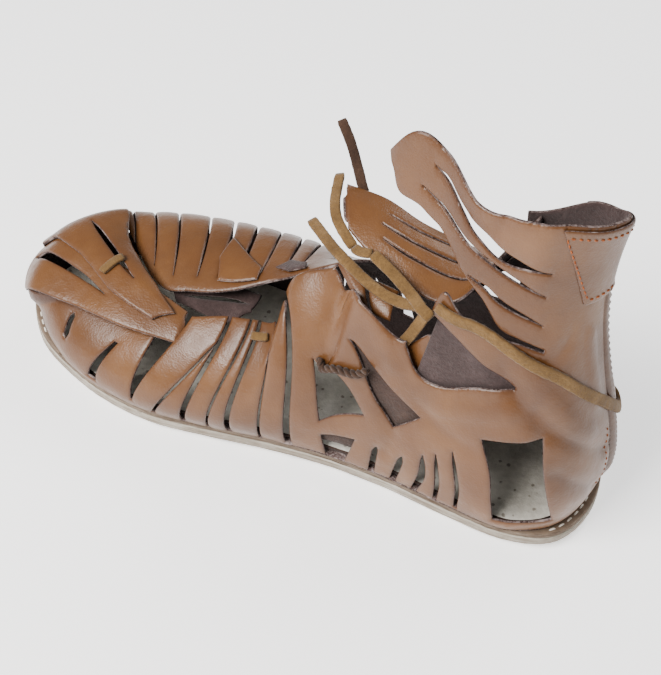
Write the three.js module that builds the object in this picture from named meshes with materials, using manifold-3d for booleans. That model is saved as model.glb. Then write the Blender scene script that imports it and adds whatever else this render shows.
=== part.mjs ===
// Open strap sandal with a hobnailed sole, right foot, in millimetres.
// +X points to the heel, -X to the toe, -Y to the inner side of the foot, +Z up.
import * as THREE from 'three';
import Module from 'manifold-3d';

const wasm = await Module();
wasm.setup();

// Overall sizes
const SOLE_LENGTH = 293;
const LEATHER = 2;
const CLEARANCE = 0.3;

// The tables are drawn for a sole of 293 mm and are graded to the sole's length
const GRADE = SOLE_LENGTH / 293;
const HEEL_X = 142 * GRADE;
const HEEL_Y = 2 * GRADE;
const TOE_Y = -3 * GRADE;
const SHARES = ['r', 'share'];

// Heights of the layers above the floor, at the flat part of the sole
const NAIL_HEIGHT = 3;
const OUTSOLE_TOP = 7.8;
const MIDSOLE_BOTTOM = 8.1;
const MIDSOLE_TOP = 11;
const MARGIN_BOTTOM = 11.3;
const INSOLE_BOTTOM = 13.6;
const INSOLE_TOP = 16;
const FEATHER_LIFT = 1.4;

// Toe spring
const SPRING_START = 60;
const SPRING_RUN = 90;
const SPRING_RISE = 9;

// Rim of the sole left outside the upper
const RIM_SIDE = 1.5;
const RIM_END = 6;
const RIM_HEEL_SHARE = 0.1;
const RIM_TOE_SHARE = 0.14;
const INSOLE_INSET = 0.8;

// Turned-in margin of the upper
const MARGIN_WIDTH = 10;
const MARGIN_REACH = 1.6;

// Hobnails
const NAIL_RADIUS = 6;
const NAIL_CROWN = 2.2;
const NAIL_EDGE = 1.6;
const NAIL_SIDES = 10;

// Overlays
const PATCH_THICKNESS = 1.5;
const THONG_THICKNESS = 1.9;
const LACE_RADIUS = 1.6;
const LACE_SIDES = 8;
const LACE_STEPS = 12;

// Mesh steps
const OUTLINE_STEPS = 36;
const EDGE_SAMPLES = 240;
const WALL_COLUMNS = 72;
const WALL_ROWS = 6;
const CUT_UNDER = -4;
const CUT_OVER = 6;
const DELTA = 0.002;

const table = (columns, rows) => rows.map((row) => Object.fromEntries(
  columns.split(' ').map((name, index) => {
    const scale = SHARES.includes(name) ? 1 : GRADE;
    return [name, row[index] * scale];
  })));
const pointOf = (place) => new THREE.Vector3(...place).multiplyScalar(GRADE);

// Outline of the sole: share of the length from the heel, inner and outer offset
const OUTLINE = table('share inner outer', [
  [0.012, 17, 21],
  [0.045, 29, 28],
  [0.11, 35, 34],
  [0.2, 34.5, 39],
  [0.3, 32.5, 44],
  [0.4, 33, 48.5],
  [0.5, 37, 51.5],
  [0.6, 43, 53],
  [0.69, 47.5, 53],
  [0.78, 46.5, 50],
  [0.86, 41, 43],
  [0.93, 32, 33],
  [0.98, 17, 20],
]);

// Form of the upper round the foot. r runs from the toe (-1) by the inner side to
// the heel (0) and by the outer side back to the toe (1); x, y, z is the top line,
// outA and upA lean the wall at the foot edge, outB and downB at the top line
const FORM = table('r x y z outA upA outB downB', [
  [-1, -143, 0, 44, 0, 14, 0, 14],
  [-0.95, -139, -24, 38, 1, 12, 1, 12],
  [-0.9, -112, -22, 43, 3, 16, 6, 4],
  [-0.83, -90, -20, 46, 5, 18, 10, 4],
  [-0.77, -72, -20, 48, 7, 18, 12, 4],
  [-0.7, -52, -22, 56, 10, 18, 10, 6],
  [-0.65, -36, -18, 60, 13, 18, 12, 6],
  [-0.61, -23, -17, 63, 14, 18, 14, 6],
  [-0.55, -9, -15, 68, 14, 18, 18, 6],
  [-0.515, -5, -8, 90, 12, 22, 18, 14],
  [-0.47, 13, -5, 102, 10, 28, 18, 20],
  [-0.44, 22, -7, 118, 8, 32, 12, 30],
  [-0.41, 31, -11, 166, 7, 38, 8, 50],
  [-0.38, 44, -12, 190, 7, 40, 8, 61],
  [-0.33, 60, -14, 187, 7, 44, 10, 69],
  [-0.28, 76, -22, 175.5, 7, 44, 3, 64],
  [-0.22, 93, -24, 176.5, 8, 44, -2, 66],
  [-0.14, 110, -20, 178, 14, 44, -10, 74],
  [-0.07, 121, -11, 175, 20, 40, -14, 75],
  [0, 126, 0, 173, 22, 40, -14, 75],
  [0.07, 121, 5, 170, 20, 40, -10, 75],
  [0.14, 110, 8, 166, 16, 44, -2, 64],
  [0.22, 93, 7, 155, 12, 44, 6, 56],
  [0.29, 70, 5, 148, 10, 44, 12, 46],
  [0.36, 46, 4, 128, 8, 40, 14, 34],
  [0.43, 26, 4, 106, 8, 38, 18, 24],
  [0.49, 10, 3, 94, 8, 38, 22, 14],
  [0.54, -8, 3, 80, 9, 42, 28, 0],
  [0.6, -22, 3, 70, 10, 44, 32, -6],
  [0.66, -40, -4, 62, 12, 46, 36, -10],
  [0.75, -60, -8, 56, 12, 44, 38, -12],
  [0.82, -80, -6, 52, 11, 40, 34, -10],
  [0.87, -117, 25, 51, 8, 30, 6, 0],
  [0.92, -131, 20, 50, 4, 24, 4, 8],
  [1, -143, 0, 44, 0, 14, 0, 14],
]);

// Openings of the inner side, edge a against edge b, each as r and share of height t
const INNER_OPENINGS = {
  ankleNotch: [
    [-0.14, 0.68, -0.14, 0.67],
    [-0.185, 0.695, -0.18, 0.678],
    [-0.219, 0.714, -0.225, 0.685],
    [-0.253, 0.785, -0.27, 0.71],
    [-0.296, 0.838, -0.3, 0.735],
    [-0.321, 0.852, -0.315, 0.62],
    [-0.35, 0.85, -0.333, 0.54],
    [-0.382, 0.86, -0.37, 0.54],
    [-0.395, 0.95, -0.405, 0.62],
    [-0.408, 1.05, -0.445, 0.84],
    [-0.46, 1.05, -0.472, 0.99],
  ],
  instepLens: [
    [-0.17, 0.555, -0.17, 0.545],
    [-0.22, 0.59, -0.22, 0.52],
    [-0.273, 0.65, -0.273, 0.48],
    [-0.31, 0.66, -0.308, 0.48],
    [-0.335, 0.62, -0.332, 0.53],
  ],
  flapTriangle: [
    [-0.467, 0.56, -0.465, 0.55],
    [-0.448, 0.39, -0.41, 0.375],
    [-0.432, 0.21, -0.367, 0.25],
  ],
  flapSlot: [
    [-0.407, 0.5, -0.404, 0.495],
    [-0.37, 0.36, -0.37, 0.42],
    [-0.323, 0.25, -0.288, 0.34],
  ],
  waistWindow: [
    [-0.427, 0.13, -0.375, 0.14],
    [-0.417, -0.03, -0.392, -0.03],
  ],
  heelWindow: [
    [-0.198, 0.36, -0.115, 0.42],
    [-0.175, 0.25, -0.107, 0.3],
    [-0.166, 0.14, -0.095, 0.17],
    [-0.16, 0.04, -0.085, 0.07],
  ],
  frontTriangle: [
    [-0.714, 0.11, -0.712, 0.11],
    [-0.733, 0.67, -0.702, 0.62],
    [-0.75, 1.05, -0.695, 1.05],
  ],
  toeGap: [
    [-0.794, 0.08, -0.778, 0.08],
    [-0.784, 0.56, -0.778, 0.56],
  ],
};

// Openings of the outer side
const OUTER_OPENINGS = {
  ankleNotch: [
    [0.24, 1.05, 0.24, 0.54],
    [0.273, 1.05, 0.273, 0.48],
    [0.33, 1.05, 0.33, 0.52],
    [0.37, 1.05, 0.37, 0.56],
    [0.41, 1.05, 0.41, 0.66],
    [0.46, 1.05, 0.475, 1],
  ],
  flapTriangle: [
    [0.462, 0.42, 0.46, 0.42],
    [0.45, 0.16, 0.43, 0.16],
  ],
  waistTriangle: [
    [0.418, 0.4, 0.416, 0.4],
    [0.405, 0.16, 0.385, 0.16],
  ],
};

// Slits and gaps between straps: r and t along the middle, half of the width
const SLITS = {
  quarterA: [[-0.343, 0.14, 1.4], [-0.348, -0.01, 1.6]],
  quarterB: [[-0.302, 0.15, 1.2], [-0.308, 0.07, 1.6], [-0.315, -0.01, 1.4]],
  quarterC: [[-0.273, 0.2, 0.8], [-0.27, 0.1, 1.8], [-0.28, 0, 1.4]],
  quarterD: [[-0.255, 0.23, 0.7], [-0.246, 0.1, 1.2], [-0.247, 0, 1]],
  quarterE: [[-0.233, 0.27, 0.7], [-0.216, 0.13, 1.1], [-0.215, 0.01, 0.9]],
  ankleA: [
    [-0.345, 0.955, 0.7],
    [-0.321, 0.956, 1],
    [-0.296, 0.946, 1.2],
    [-0.266, 0.932, 2.2],
    [-0.225, 0.896, 2.4],
    [-0.158, 0.88, 0.6],
  ],
  ankleB: [
    [-0.358, 0.893, 0.6],
    [-0.295, 0.9, 0.8],
    [-0.262, 0.888, 0.9],
    [-0.221, 0.855, 0.9],
    [-0.159, 0.82, 0.6],
  ],
  ankleC: [[-0.275, 0.826, 0.5], [-0.25, 0.812, 0.9], [-0.22, 0.778, 1.1], [-0.152, 0.742, 0.6]],
  frontA: [[-0.852, 0.28, 1.6], [-0.875, 0.6, 1.2]],
  frontC: [[-0.68, 0.02, 0.8], [-0.64, 0.8, 0.5]],
  frontD: [[-0.633, -0.02, 1.4], [-0.638, 0.5, 1.3], [-0.642, 1.05, 1]],
  frontE: [[-0.595, -0.02, 0.6], [-0.61, 1.05, 0.6]],
  frontF: [[-0.562, -0.02, 1.4], [-0.585, 0.7, 1.1], [-0.595, 1.05, 0.8]],
  frontG: [[-0.517, -0.02, 0.7], [-0.53, 0.6, 0.7], [-0.558, 1.05, 1.2]],
  frontH: [[-0.474, -0.02, 1.8], [-0.492, 0.5, 1.4], [-0.535, 1.05, 1.2]],
  outerA: [[0.86, 0.16, 0.8], [0.848, 1.05, 0.9]],
  outerB: [[0.825, 0.14, 0.6], [0.823, 0.93, 0.5]],
  outerC: [[0.787, 0.14, 0.6], [0.79, 0.93, 0.5]],
  outerD: [[0.738, 0.14, 0.6], [0.743, 0.93, 0.5]],
  outerE: [[0.7, 0.14, 1], [0.7, 0.93, 0.8]],
  outerF: [[0.66, 0.14, 1], [0.662, 0.93, 0.8]],
  outerG: [[0.623, 0.14, 0.6], [0.628, 0.93, 0.5]],
  outerH: [[0.588, 0.14, 1.1], [0.59, 0.93, 0.9]],
  outerI: [[0.55, 0.14, 1.1], [0.552, 0.93, 0.9]],
  outerJ: [[0.508, 0.14, 1.1], [0.512, 0.86, 0.9]],
};

// Toe flap folded back over the foot, from the fold to the free end:
// its inner edge, middle and outer edge
const TOE_FLAP = {
  near: [[-140.5, -25, 36.5], [-130, -31.5, 45], [-104, -34, 48], [-80, -36, 49], [-53, -33, 48]],
  middle: [[-144, 1, 42.5], [-131, -2, 54], [-108, -9, 57], [-84, -19, 57], [-54, -26, 52]],
  far: [[-117, 27, 49.5], [-113, 25, 57], [-99, 4, 58], [-80, -9, 58], [-55, -18, 54]],
};
const TOE_SLITS = [
  [[0.12, 0.27, 1.2], [0.45, 0.3, 1.6], [0.76, 0.42, 0.7]],
  [[0.1, 0.52, 1.6], [0.4, 0.52, 1.8], [0.72, 0.6, 0.7]],
  [[0.1, 0.76, 0.7], [0.4, 0.78, 1], [0.66, 0.8, 0.6]],
];

// Outer ankle flap lying slack over the instep, from the ankle to the free end:
// its collar edge, middle and lower edge
const ANKLE_FLAP = {
  near: [[92, 7, 154], [82, 0, 137], [68, -14, 114], [46, -14, 114], [27, -9, 120], [15, -3, 123]],
  middle: [[93, 14.6, 130], [82, 14, 121], [68, 6, 117], [46, 2, 122], [26, 4, 126], [9, 8, 128]],
  far: [[92, 22, 106], [81, 25, 107], [66, 22, 112], [44, 15, 123], [24, 17, 128], [4, 19, 126]],
};
const FLAP_SLITS = [
  [[0.12, 0.27, 0.8], [0.45, 0.3, 0.9], [0.75, 0.3, 0.7]],
  [[0.12, 0.52, 0.8], [0.45, 0.52, 0.9], [0.78, 0.5, 0.7]],
  [[0.12, 0.77, 0.8], [0.45, 0.76, 0.9], [0.76, 0.74, 0.7]],
];
const FLAP_COLUMNS = 12;
const FLAP_ROWS = 4;

// Patch sewn over the back seam, seen from the side: x and z of its corners
const HEEL_PATCH = [[107.5, 190], [118.5, 134.5], [150, 134.5], [150, 190]];
const PATCH_REACH = 60;

// Thongs: r and t (or share along and across a flap), half of the width
const HEEL_THONG = [
  [-0.302, 0.7, 2.7],
  [-0.27, 0.705, 2.7],
  [-0.241, 0.703, 2.7],
  [-0.172, 0.652, 2.7],
  [-0.099, 0.605, 2.7],
  [-0.041, 0.527, 2.7],
  [0, 0.45, 2.7],
  [0.03, 0.385, 2.7],
  [0.06, 0.35, 2.7],
  [0.1, 0.36, 2.7],
  [0.14, 0.41, 2.7],
];
const FLAP_THONG = [
  [-0.456, 0.56, 1.5],
  [-0.438, 0.48, 1.5],
  [-0.415, 0.42, 1.5],
  [-0.39, 0.39, 1.5],
  [-0.372, 0.41, 1.5],
];
const TOE_THONG = [[0.6, 0.38, 2.1], [0.63, 0.68, 2.1]];
const STRAP_THONG = [[-0.592, 0.86, 2], [-0.558, 0.86, 2]];

// Free runs of lace over the instep
const LACES = {
  lace_front: [[-10, 15, 103], [10, -2, 107], [34, -17, 109.5], [48, -21, 110.5], [59, -23.5, 115.2]],
  lace_over: [[31, -12.4, 122.8], [41, -15.6, 119.8], [52, -21.5, 118], [60, -28, 118.3], [65.2, -31, 118.5]],
  lace_branch: [[60.8, -22.6, 112.2], [58, -24, 105], [55, -26, 98], [52, -26, 92]],
  lace_flap: [[-2, 25, 124.5], [3, 10, 124], [8, 1, 123], [14.2, -5, 122], [21, -9.8, 120.4]],
  lace_end: [[11.1, 19.4, 126.5], [6, 25, 132], [0, 30, 139], [-6.5, 34, 146]],
};

// Hobnails: distance from the heel, offset to the inner side
const NAILS = table('along inner', [
  [14, 11], [24, -12], [28, 11], [32, -3], [41, 26], [43, 13.5], [56, -20], [58, -7],
  [63, 17], [75, 24.5], [76, 6], [85, -24], [89, -1], [97, -12], [98, 11], [104, 24],
  [116, -16], [119, -30], [125, 17], [136, 26.5], [139, 0], [154, -34], [156, 5],
  [159, 20], [169, 32.5], [177, -17], [181, 23], [191, -36], [201, 37], [204, 11],
  [215, -15], [227, -31], [232, 14], [237, 31], [243, -5], [262, -22], [264, 12],
  [274, 20], [280, -3],
]);

// Leaning of a layer edge: inset from the outline and height
const OUTSOLE_EDGE = [[1.2, NAIL_HEIGHT], [0, 4.2], [0, 7.2], [0.6, OUTSOLE_TOP]];
const MIDSOLE_EDGE = [[0.5, MIDSOLE_BOTTOM], [0.3, MIDSOLE_TOP]];

const springAt = (x) => {
  const share = Math.max(0, (-x - SPRING_START) / SPRING_RUN);
  return SPRING_RISE * share * share;
};

const outlineRing = () => {
  const inner = OUTLINE.map((row) => [HEEL_X - row.share * SOLE_LENGTH, -row.inner]);
  const outer = OUTLINE.map((row) => [HEEL_X - row.share * SOLE_LENGTH, row.outer]);
  return [[HEEL_X, HEEL_Y], ...inner, [HEEL_X - SOLE_LENGTH, TOE_Y], ...outer.reverse()];
};
const ring = new THREE.CatmullRomCurve3(
  outlineRing().map(([x, y]) => new THREE.Vector3(x, y, 0)), true, 'catmullrom', 0.5);

// Point and outward normal of the outline; share 0 to 1 from heel to toe on a side
const outlineAt = (side, share) => {
  const u = side < 0 ? share / 2 : 1 - share / 2;
  const wrapped = (u + 1) % 1;
  const point = ring.getPoint(wrapped);
  const ahead = ring.getPoint((wrapped + DELTA) % 1);
  const behind = ring.getPoint((wrapped + 1 - DELTA) % 1);
  const normal = new THREE.Vector3(behind.y - ahead.y, ahead.x - behind.x, 0).normalize();
  return { point, normal };
};

const rimAt = (x) => {
  const share = (HEEL_X - x) / SOLE_LENGTH;
  const heel = THREE.MathUtils.clamp(1 - share / RIM_HEEL_SHARE, 0, 1);
  const toe = THREE.MathUtils.clamp(1 - (1 - share) / RIM_TOE_SHARE, 0, 1);
  return RIM_SIDE + RIM_END * (heel + toe);
};

const footEdge = (side) => {
  const samples = [];
  let length = 0;
  for (let k = 0; k <= EDGE_SAMPLES; k += 1) {
    const { point, normal } = outlineAt(side, k / EDGE_SAMPLES);
    const place = point.clone().addScaledVector(normal, -rimAt(point.x));
    if (k > 0) length += place.distanceTo(samples[k - 1].place);
    samples.push({ place, normal, length });
  }
  return samples.map((sample) => ({ ...sample, share: sample.length / length }));
};
const FOOT_EDGES = { inner: footEdge(-1), outer: footEdge(1) };

const wrapTurn = (r) => r - 2 * Math.floor((r + 1) / 2);

const footAt = (r) => {
  const turn = wrapTurn(r);
  const samples = turn < 0 ? FOOT_EDGES.inner : FOOT_EDGES.outer;
  const share = Math.abs(turn);
  const next = Math.max(1, samples.findIndex((sample) => sample.share >= share));
  const a = samples[next - 1];
  const b = samples[next];
  const mix = (share - a.share) / (b.share - a.share);
  return {
    place: a.place.clone().lerp(b.place, mix),
    normal: a.normal.clone().lerp(b.normal, mix).normalize(),
  };
};

const slope = (rows, index, name) => {
  const a = rows[Math.max(0, index - 1)];
  const b = rows[Math.min(rows.length - 1, index + 1)];
  return (b[name] - a[name]) / (b.r - a.r);
};

const formAt = (r) => {
  const turn = wrapTurn(r);
  const next = Math.max(1, FORM.findIndex((row) => row.r >= turn));
  const a = FORM[next - 1];
  const b = FORM[next];
  const span = b.r - a.r;
  const s = (turn - a.r) / span;
  const value = {};
  for (const name of Object.keys(a)) {
    value[name] = (2 * s ** 3 - 3 * s ** 2 + 1) * a[name]
      + (s ** 3 - 2 * s ** 2 + s) * span * slope(FORM, next - 1, name)
      + (3 * s ** 2 - 2 * s ** 3) * b[name]
      + (s ** 3 - s ** 2) * span * slope(FORM, next, name);
  }
  return value;
};

// Inner face of the upper
const upperAt = (r, t) => {
  const { place, normal } = footAt(r);
  const form = formAt(r);
  const foot = place.clone().setZ(MARGIN_BOTTOM + FEATHER_LIFT + springAt(place.x));
  const top = new THREE.Vector3(form.x, form.y, form.z);
  const handleA = foot.clone().addScaledVector(normal, form.outA);
  handleA.z += form.upA;
  const handleB = top.clone().addScaledVector(normal, form.outB);
  handleB.z -= form.downB;
  return new THREE.CubicBezierCurve3(foot, handleA, handleB, top).getPoint(t);
};

// Turned-in margin: w is the reach outwards from the foot edge
const marginAt = (r, w) => {
  const { place, normal } = footAt(r);
  const point = place.clone().addScaledVector(normal, w);
  return point.setZ(MARGIN_BOTTOM + springAt(point.x));
};

// A flap through three edge curves: a runs along, b across
const flapSurface = (flap) => {
  const curves = ['near', 'middle', 'far'].map((name) =>
    new THREE.CatmullRomCurve3(flap[name].map(pointOf), false, 'catmullrom', 0.5));
  return (a, b) => {
    const [near, middle, far] = curves.map((curve) =>
      curve.getPoint(THREE.MathUtils.clamp(a, 0, 1)));
    return new THREE.Vector3()
      .addScaledVector(near, (1 - b) * (1 - 2 * b))
      .addScaledVector(middle, 4 * b * (1 - b))
      .addScaledVector(far, b * (2 * b - 1));
  };
};
const toeFlapAt = flapSurface(TOE_FLAP);
const ankleFlapAt = flapSurface(ANKLE_FLAP);

const normalAt = (surface, u, v) => {
  const alongU = surface(u + DELTA, v).sub(surface(u - DELTA, v));
  const alongV = surface(u, v + DELTA).sub(surface(u, v - DELTA));
  return alongU.cross(alongV).normalize();
};

const solidFrom = (points, faces) => {
  let volume = 0;
  for (const [i, j, k] of faces) {
    volume += points[i].dot(new THREE.Vector3().crossVectors(points[j], points[k]));
  }
  const turned = volume < 0 ? faces.map(([i, j, k]) => [i, k, j]) : faces;
  return new wasm.Manifold(new wasm.Mesh({
    numProp: 3,
    vertProperties: new Float32Array(points.flatMap((point) => point.toArray())),
    triVerts: new Uint32Array(turned.flat()),
  }));
};

// Solid between two offsets of a surface, over a grid of its two parameters
const slab = ({ surface, grid, columns, rows, low, high, loop = false, normal = null }) => {
  const lines = loop ? columns : columns + 1;
  const points = [];
  for (const offset of [low, high]) {
    for (let i = 0; i < lines; i += 1) {
      for (let j = 0; j <= rows; j += 1) {
        const [u, v] = grid(i / columns, j / rows);
        const away = normal ?? normalAt(surface, u, v);
        points.push(surface(u, v).clone().addScaledVector(away, offset));
      }
    }
  }
  const layer = lines * (rows + 1);
  const at = (i, j, top) => top * layer + (i % lines) * (rows + 1) + j;
  const faces = [];
  const quad = (a, b, c, d) => faces.push([a, b, c], [a, c, d]);
  for (let i = 0; i < columns; i += 1) {
    for (let j = 0; j < rows; j += 1) {
      quad(at(i, j, 1), at(i + 1, j, 1), at(i + 1, j + 1, 1), at(i, j + 1, 1));
      quad(at(i, j, 0), at(i, j + 1, 0), at(i + 1, j + 1, 0), at(i + 1, j, 0));
    }
    quad(at(i, 0, 0), at(i + 1, 0, 0), at(i + 1, 0, 1), at(i, 0, 1));
    quad(at(i, rows, 1), at(i + 1, rows, 1), at(i + 1, rows, 0), at(i, rows, 0));
  }
  if (!loop) {
    for (let j = 0; j < rows; j += 1) {
      quad(at(0, j, 0), at(0, j, 1), at(0, j + 1, 1), at(0, j + 1, 0));
      quad(at(columns, j, 1), at(columns, j, 0), at(columns, j + 1, 0), at(columns, j + 1, 1));
    }
  }
  return solidFrom(points, faces);
};

const mixRows = (rows, share) => {
  const place = share * (rows.length - 1);
  const index = Math.min(rows.length - 2, Math.floor(place));
  const mix = place - index;
  return rows[index].map((value, k) => value * (1 - mix) + rows[index + 1][k] * mix);
};

// Area between the two edges of a table of [ua, va, ub, vb]
const between = (rows) => (share, across) => {
  const [ua, va, ub, vb] = mixRows(rows, share);
  return [ua * (1 - across) + ub * across, va * (1 - across) + vb * across];
};

// Band of a given half width along a middle line on a surface
const edgesOf = (surface, rows) => rows.map(([u, v, half], index) => {
  const before = rows[Math.max(0, index - 1)];
  const after = rows[Math.min(rows.length - 1, index + 1)];
  const perU = surface(u + DELTA, v).distanceTo(surface(u - DELTA, v)) / (2 * DELTA);
  const perV = surface(u, v + DELTA).distanceTo(surface(u, v - DELTA)) / (2 * DELTA);
  const run = new THREE.Vector2((after[0] - before[0]) * perU, (after[1] - before[1]) * perV);
  run.normalize().multiplyScalar(half * GRADE);
  return [u - run.y / perU, v + run.x / perV, u + run.y / perU, v - run.x / perV];
});

const cutter = (surface, rows, stepsAlong, stepsAcross) => slab({
  surface,
  grid: between(rows),
  columns: (rows.length - 1) * stepsAlong,
  rows: stepsAcross,
  low: CUT_UNDER,
  high: CUT_OVER,
});

const wallSlab = (low, high) => slab({
  surface: upperAt,
  grid: (a, b) => [2 * a - 1, b],
  columns: WALL_COLUMNS,
  rows: WALL_ROWS,
  low,
  high,
  loop: true,
});

const flapSlab = (surface, low, high) => slab({
  surface,
  grid: (a, b) => [a, b],
  columns: FLAP_COLUMNS,
  rows: FLAP_ROWS,
  low,
  high,
});

const buildUpper = () => {
  let upper = wallSlab(0, LEATHER);
  for (const rows of Object.values(INNER_OPENINGS)) {
    upper = upper.subtract(cutter(upperAt, rows, 2, 2));
  }
  for (const rows of Object.values(OUTER_OPENINGS)) {
    upper = upper.subtract(cutter(upperAt, rows, 1, 3));
  }
  for (const rows of Object.values(SLITS)) {
    upper = upper.subtract(cutter(upperAt, edgesOf(upperAt, rows), 2, 1));
  }
  const margin = slab({
    surface: marginAt,
    grid: (a, b) => [2 * a - 1, MARGIN_REACH - b * (MARGIN_WIDTH + MARGIN_REACH)],
    columns: WALL_COLUMNS,
    rows: 1,
    low: 0,
    high: LEATHER,
    loop: true,
    normal: new THREE.Vector3(0, 0, 1),
  });
  upper = upper.add(margin);
  for (const [surface, slits] of [[toeFlapAt, TOE_SLITS], [ankleFlapAt, FLAP_SLITS]]) {
    let flap = flapSlab(surface, 0, LEATHER);
    for (const rows of slits) {
      flap = flap.subtract(cutter(surface, edgesOf(surface, rows), 2, 1));
    }
    upper = upper.add(flap);
  }
  return upper;
};

// An overlay is cut from a layer that lies a clearance above the leather
const overlay = (sheet, surface, rows, thickness, steps) => {
  const low = LEATHER + CLEARANCE;
  const outline = slab({
    surface,
    grid: between(rows),
    columns: (rows.length - 1) * steps,
    rows: 1,
    low: 0,
    high: low + 2 * thickness,
  });
  return sheet(low, low + thickness).intersect(outline);
};

const buildPatch = () => {
  const corners = [-PATCH_REACH, PATCH_REACH].flatMap((y) =>
    HEEL_PATCH.map(([x, z]) => pointOf([x, y, z])));
  const faces = [[0, 1, 2], [0, 2, 3], [4, 6, 5], [4, 7, 6]];
  for (let k = 0; k < 4; k += 1) {
    const next = (k + 1) % 4;
    faces.push([k, k + 4, next + 4], [k, next + 4, next]);
  }
  const low = LEATHER + CLEARANCE;
  return wallSlab(low, low + PATCH_THICKNESS).intersect(solidFrom(corners, faces));
};
const toeSheet = (low, high) => flapSlab(toeFlapAt, low, high);

// Sole layer through rings of [inset, height], capped by strips from side to side
const layer = (edge, insetAt) => {
  const points = [];
  for (const [inset, height] of edge) {
    for (const side of [-1, 1]) {
      for (let k = 0; k <= OUTLINE_STEPS; k += 1) {
        const { point, normal } = outlineAt(side, k / OUTLINE_STEPS);
        const place = point.clone().addScaledVector(normal, -inset - insetAt(point.x));
        points.push(place.setZ(height + springAt(place.x)));
      }
    }
  }
  const line = OUTLINE_STEPS + 1;
  const at = (ringIndex, side, k) => {
    const shared = k === 0 || k === OUTLINE_STEPS;
    return ringIndex * 2 * line + (shared ? 0 : side) * line + k;
  };
  const faces = [];
  const face = (a, b, c) => {
    if (a !== b && b !== c && a !== c) faces.push([a, b, c]);
  };
  const quad = (a, b, c, d) => {
    face(a, b, c);
    face(a, c, d);
  };
  const last = edge.length - 1;
  for (let k = 0; k < OUTLINE_STEPS; k += 1) {
    for (let j = 0; j < last; j += 1) {
      quad(at(j, 0, k), at(j + 1, 0, k), at(j + 1, 0, k + 1), at(j, 0, k + 1));
      quad(at(j, 1, k + 1), at(j + 1, 1, k + 1), at(j + 1, 1, k), at(j, 1, k));
    }
    quad(at(last, 0, k), at(last, 1, k), at(last, 1, k + 1), at(last, 0, k + 1));
    quad(at(0, 0, k + 1), at(0, 1, k + 1), at(0, 1, k), at(0, 0, k));
  }
  const used = [...new Set(faces.flat())];
  const order = new Map(used.map((index, position) => [index, position]));
  return solidFrom(used.map((index) => points[index]),
    faces.map((indices) => indices.map((index) => order.get(index))));
};

const buildNail = ({ along, inner }) => {
  const x = HEEL_X - along;
  const profile = [
    new THREE.Vector2(0, 0),
    new THREE.Vector2(NAIL_CROWN, 0),
    new THREE.Vector2(NAIL_RADIUS, NAIL_EDGE),
    new THREE.Vector2(NAIL_RADIUS, NAIL_HEIGHT - CLEARANCE),
    new THREE.Vector2(0, NAIL_HEIGHT - CLEARANCE),
  ];
  const geometry = new THREE.LatheGeometry(profile, NAIL_SIDES);
  geometry.rotateX(Math.PI / 2);
  geometry.rotateY(Math.atan2(springAt(x - 1) - springAt(x + 1), 2));
  geometry.translate(x, -inner, springAt(x));
  return geometry;
};

const buildLace = (points) => {
  const path = new THREE.CatmullRomCurve3(points.map(pointOf));
  const section = new THREE.Shape();
  for (let k = 0; k < LACE_SIDES; k += 1) {
    const angle = (2 * Math.PI * k) / LACE_SIDES;
    const x = LACE_RADIUS * Math.cos(angle);
    const y = LACE_RADIUS * Math.sin(angle);
    if (k === 0) section.moveTo(x, y);
    else section.lineTo(x, y);
  }
  section.closePath();
  return new THREE.ExtrudeGeometry(section, { steps: LACE_STEPS, extrudePath: path });
};

const geometryOf = (solid) => {
  const mesh = solid.getMesh();
  const geometry = new THREE.BufferGeometry();
  geometry.setAttribute('position', new THREE.BufferAttribute(mesh.vertProperties, 3));
  geometry.setIndex(new THREE.BufferAttribute(mesh.triVerts, 1));
  return geometry;
};

const COLOURS = {
  leather: 0xa8744c,
  sole: 0xb9b3a6,
  midsole: 0x8a7a68,
  insole: 0x9c9a90,
  thong: 0xc4995f,
  cord: 0x5c4030,
  iron: 0x2a2f38,
};

const group = new THREE.Group();
const place = (name, geometry, color) => {
  const mesh = new THREE.Mesh(geometry, new THREE.MeshStandardMaterial({ color }));
  mesh.name = name;
  group.add(mesh);
};

const none = () => 0;
const solids = {
  outsole: [layer(OUTSOLE_EDGE, none), COLOURS.sole],
  midsole: [layer(MIDSOLE_EDGE, none), COLOURS.midsole],
  insole: [
    layer([[INSOLE_INSET, INSOLE_BOTTOM], [INSOLE_INSET, INSOLE_TOP]], rimAt),
    COLOURS.insole,
  ],
  upper: [buildUpper(), COLOURS.leather],
  heel_patch: [buildPatch(), COLOURS.leather],
  heel_thong: [
    overlay(wallSlab, upperAt, edgesOf(upperAt, HEEL_THONG), THONG_THICKNESS, 2),
    COLOURS.thong,
  ],
  flap_thong: [
    overlay(wallSlab, upperAt, edgesOf(upperAt, FLAP_THONG), THONG_THICKNESS, 2),
    COLOURS.cord,
  ],
  toe_thong: [
    overlay(toeSheet, toeFlapAt, edgesOf(toeFlapAt, TOE_THONG), THONG_THICKNESS, 4),
    COLOURS.thong,
  ],
  strap_thong: [
    overlay(wallSlab, upperAt, edgesOf(upperAt, STRAP_THONG), THONG_THICKNESS, 3),
    COLOURS.thong,
  ],
};
for (const [name, [solid, color]] of Object.entries(solids)) {
  place(name, geometryOf(solid), color);
}
NAILS.forEach((nail, index) => {
  place(`hobnail_${String(index + 1).padStart(2, '0')}`, buildNail(nail), COLOURS.iron);
});

// The origin is the middle of the underside of everything but the free laces
const bounds = new THREE.Box3().setFromObject(group);
const shift = bounds.getCenter(new THREE.Vector3()).negate().setZ(-bounds.min.z);
for (const [name, points] of Object.entries(LACES)) {
  place(name, buildLace(points), COLOURS.cord);
}
for (const mesh of group.children) {
  mesh.geometry.translate(shift.x, shift.y, shift.z);
}

export default group;
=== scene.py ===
import math

import bpy
import numpy as np
from mathutils import Matrix, Vector
from mathutils.geometry import delaunay_2d_cdt
from mathutils.kdtree import KDTree


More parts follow.
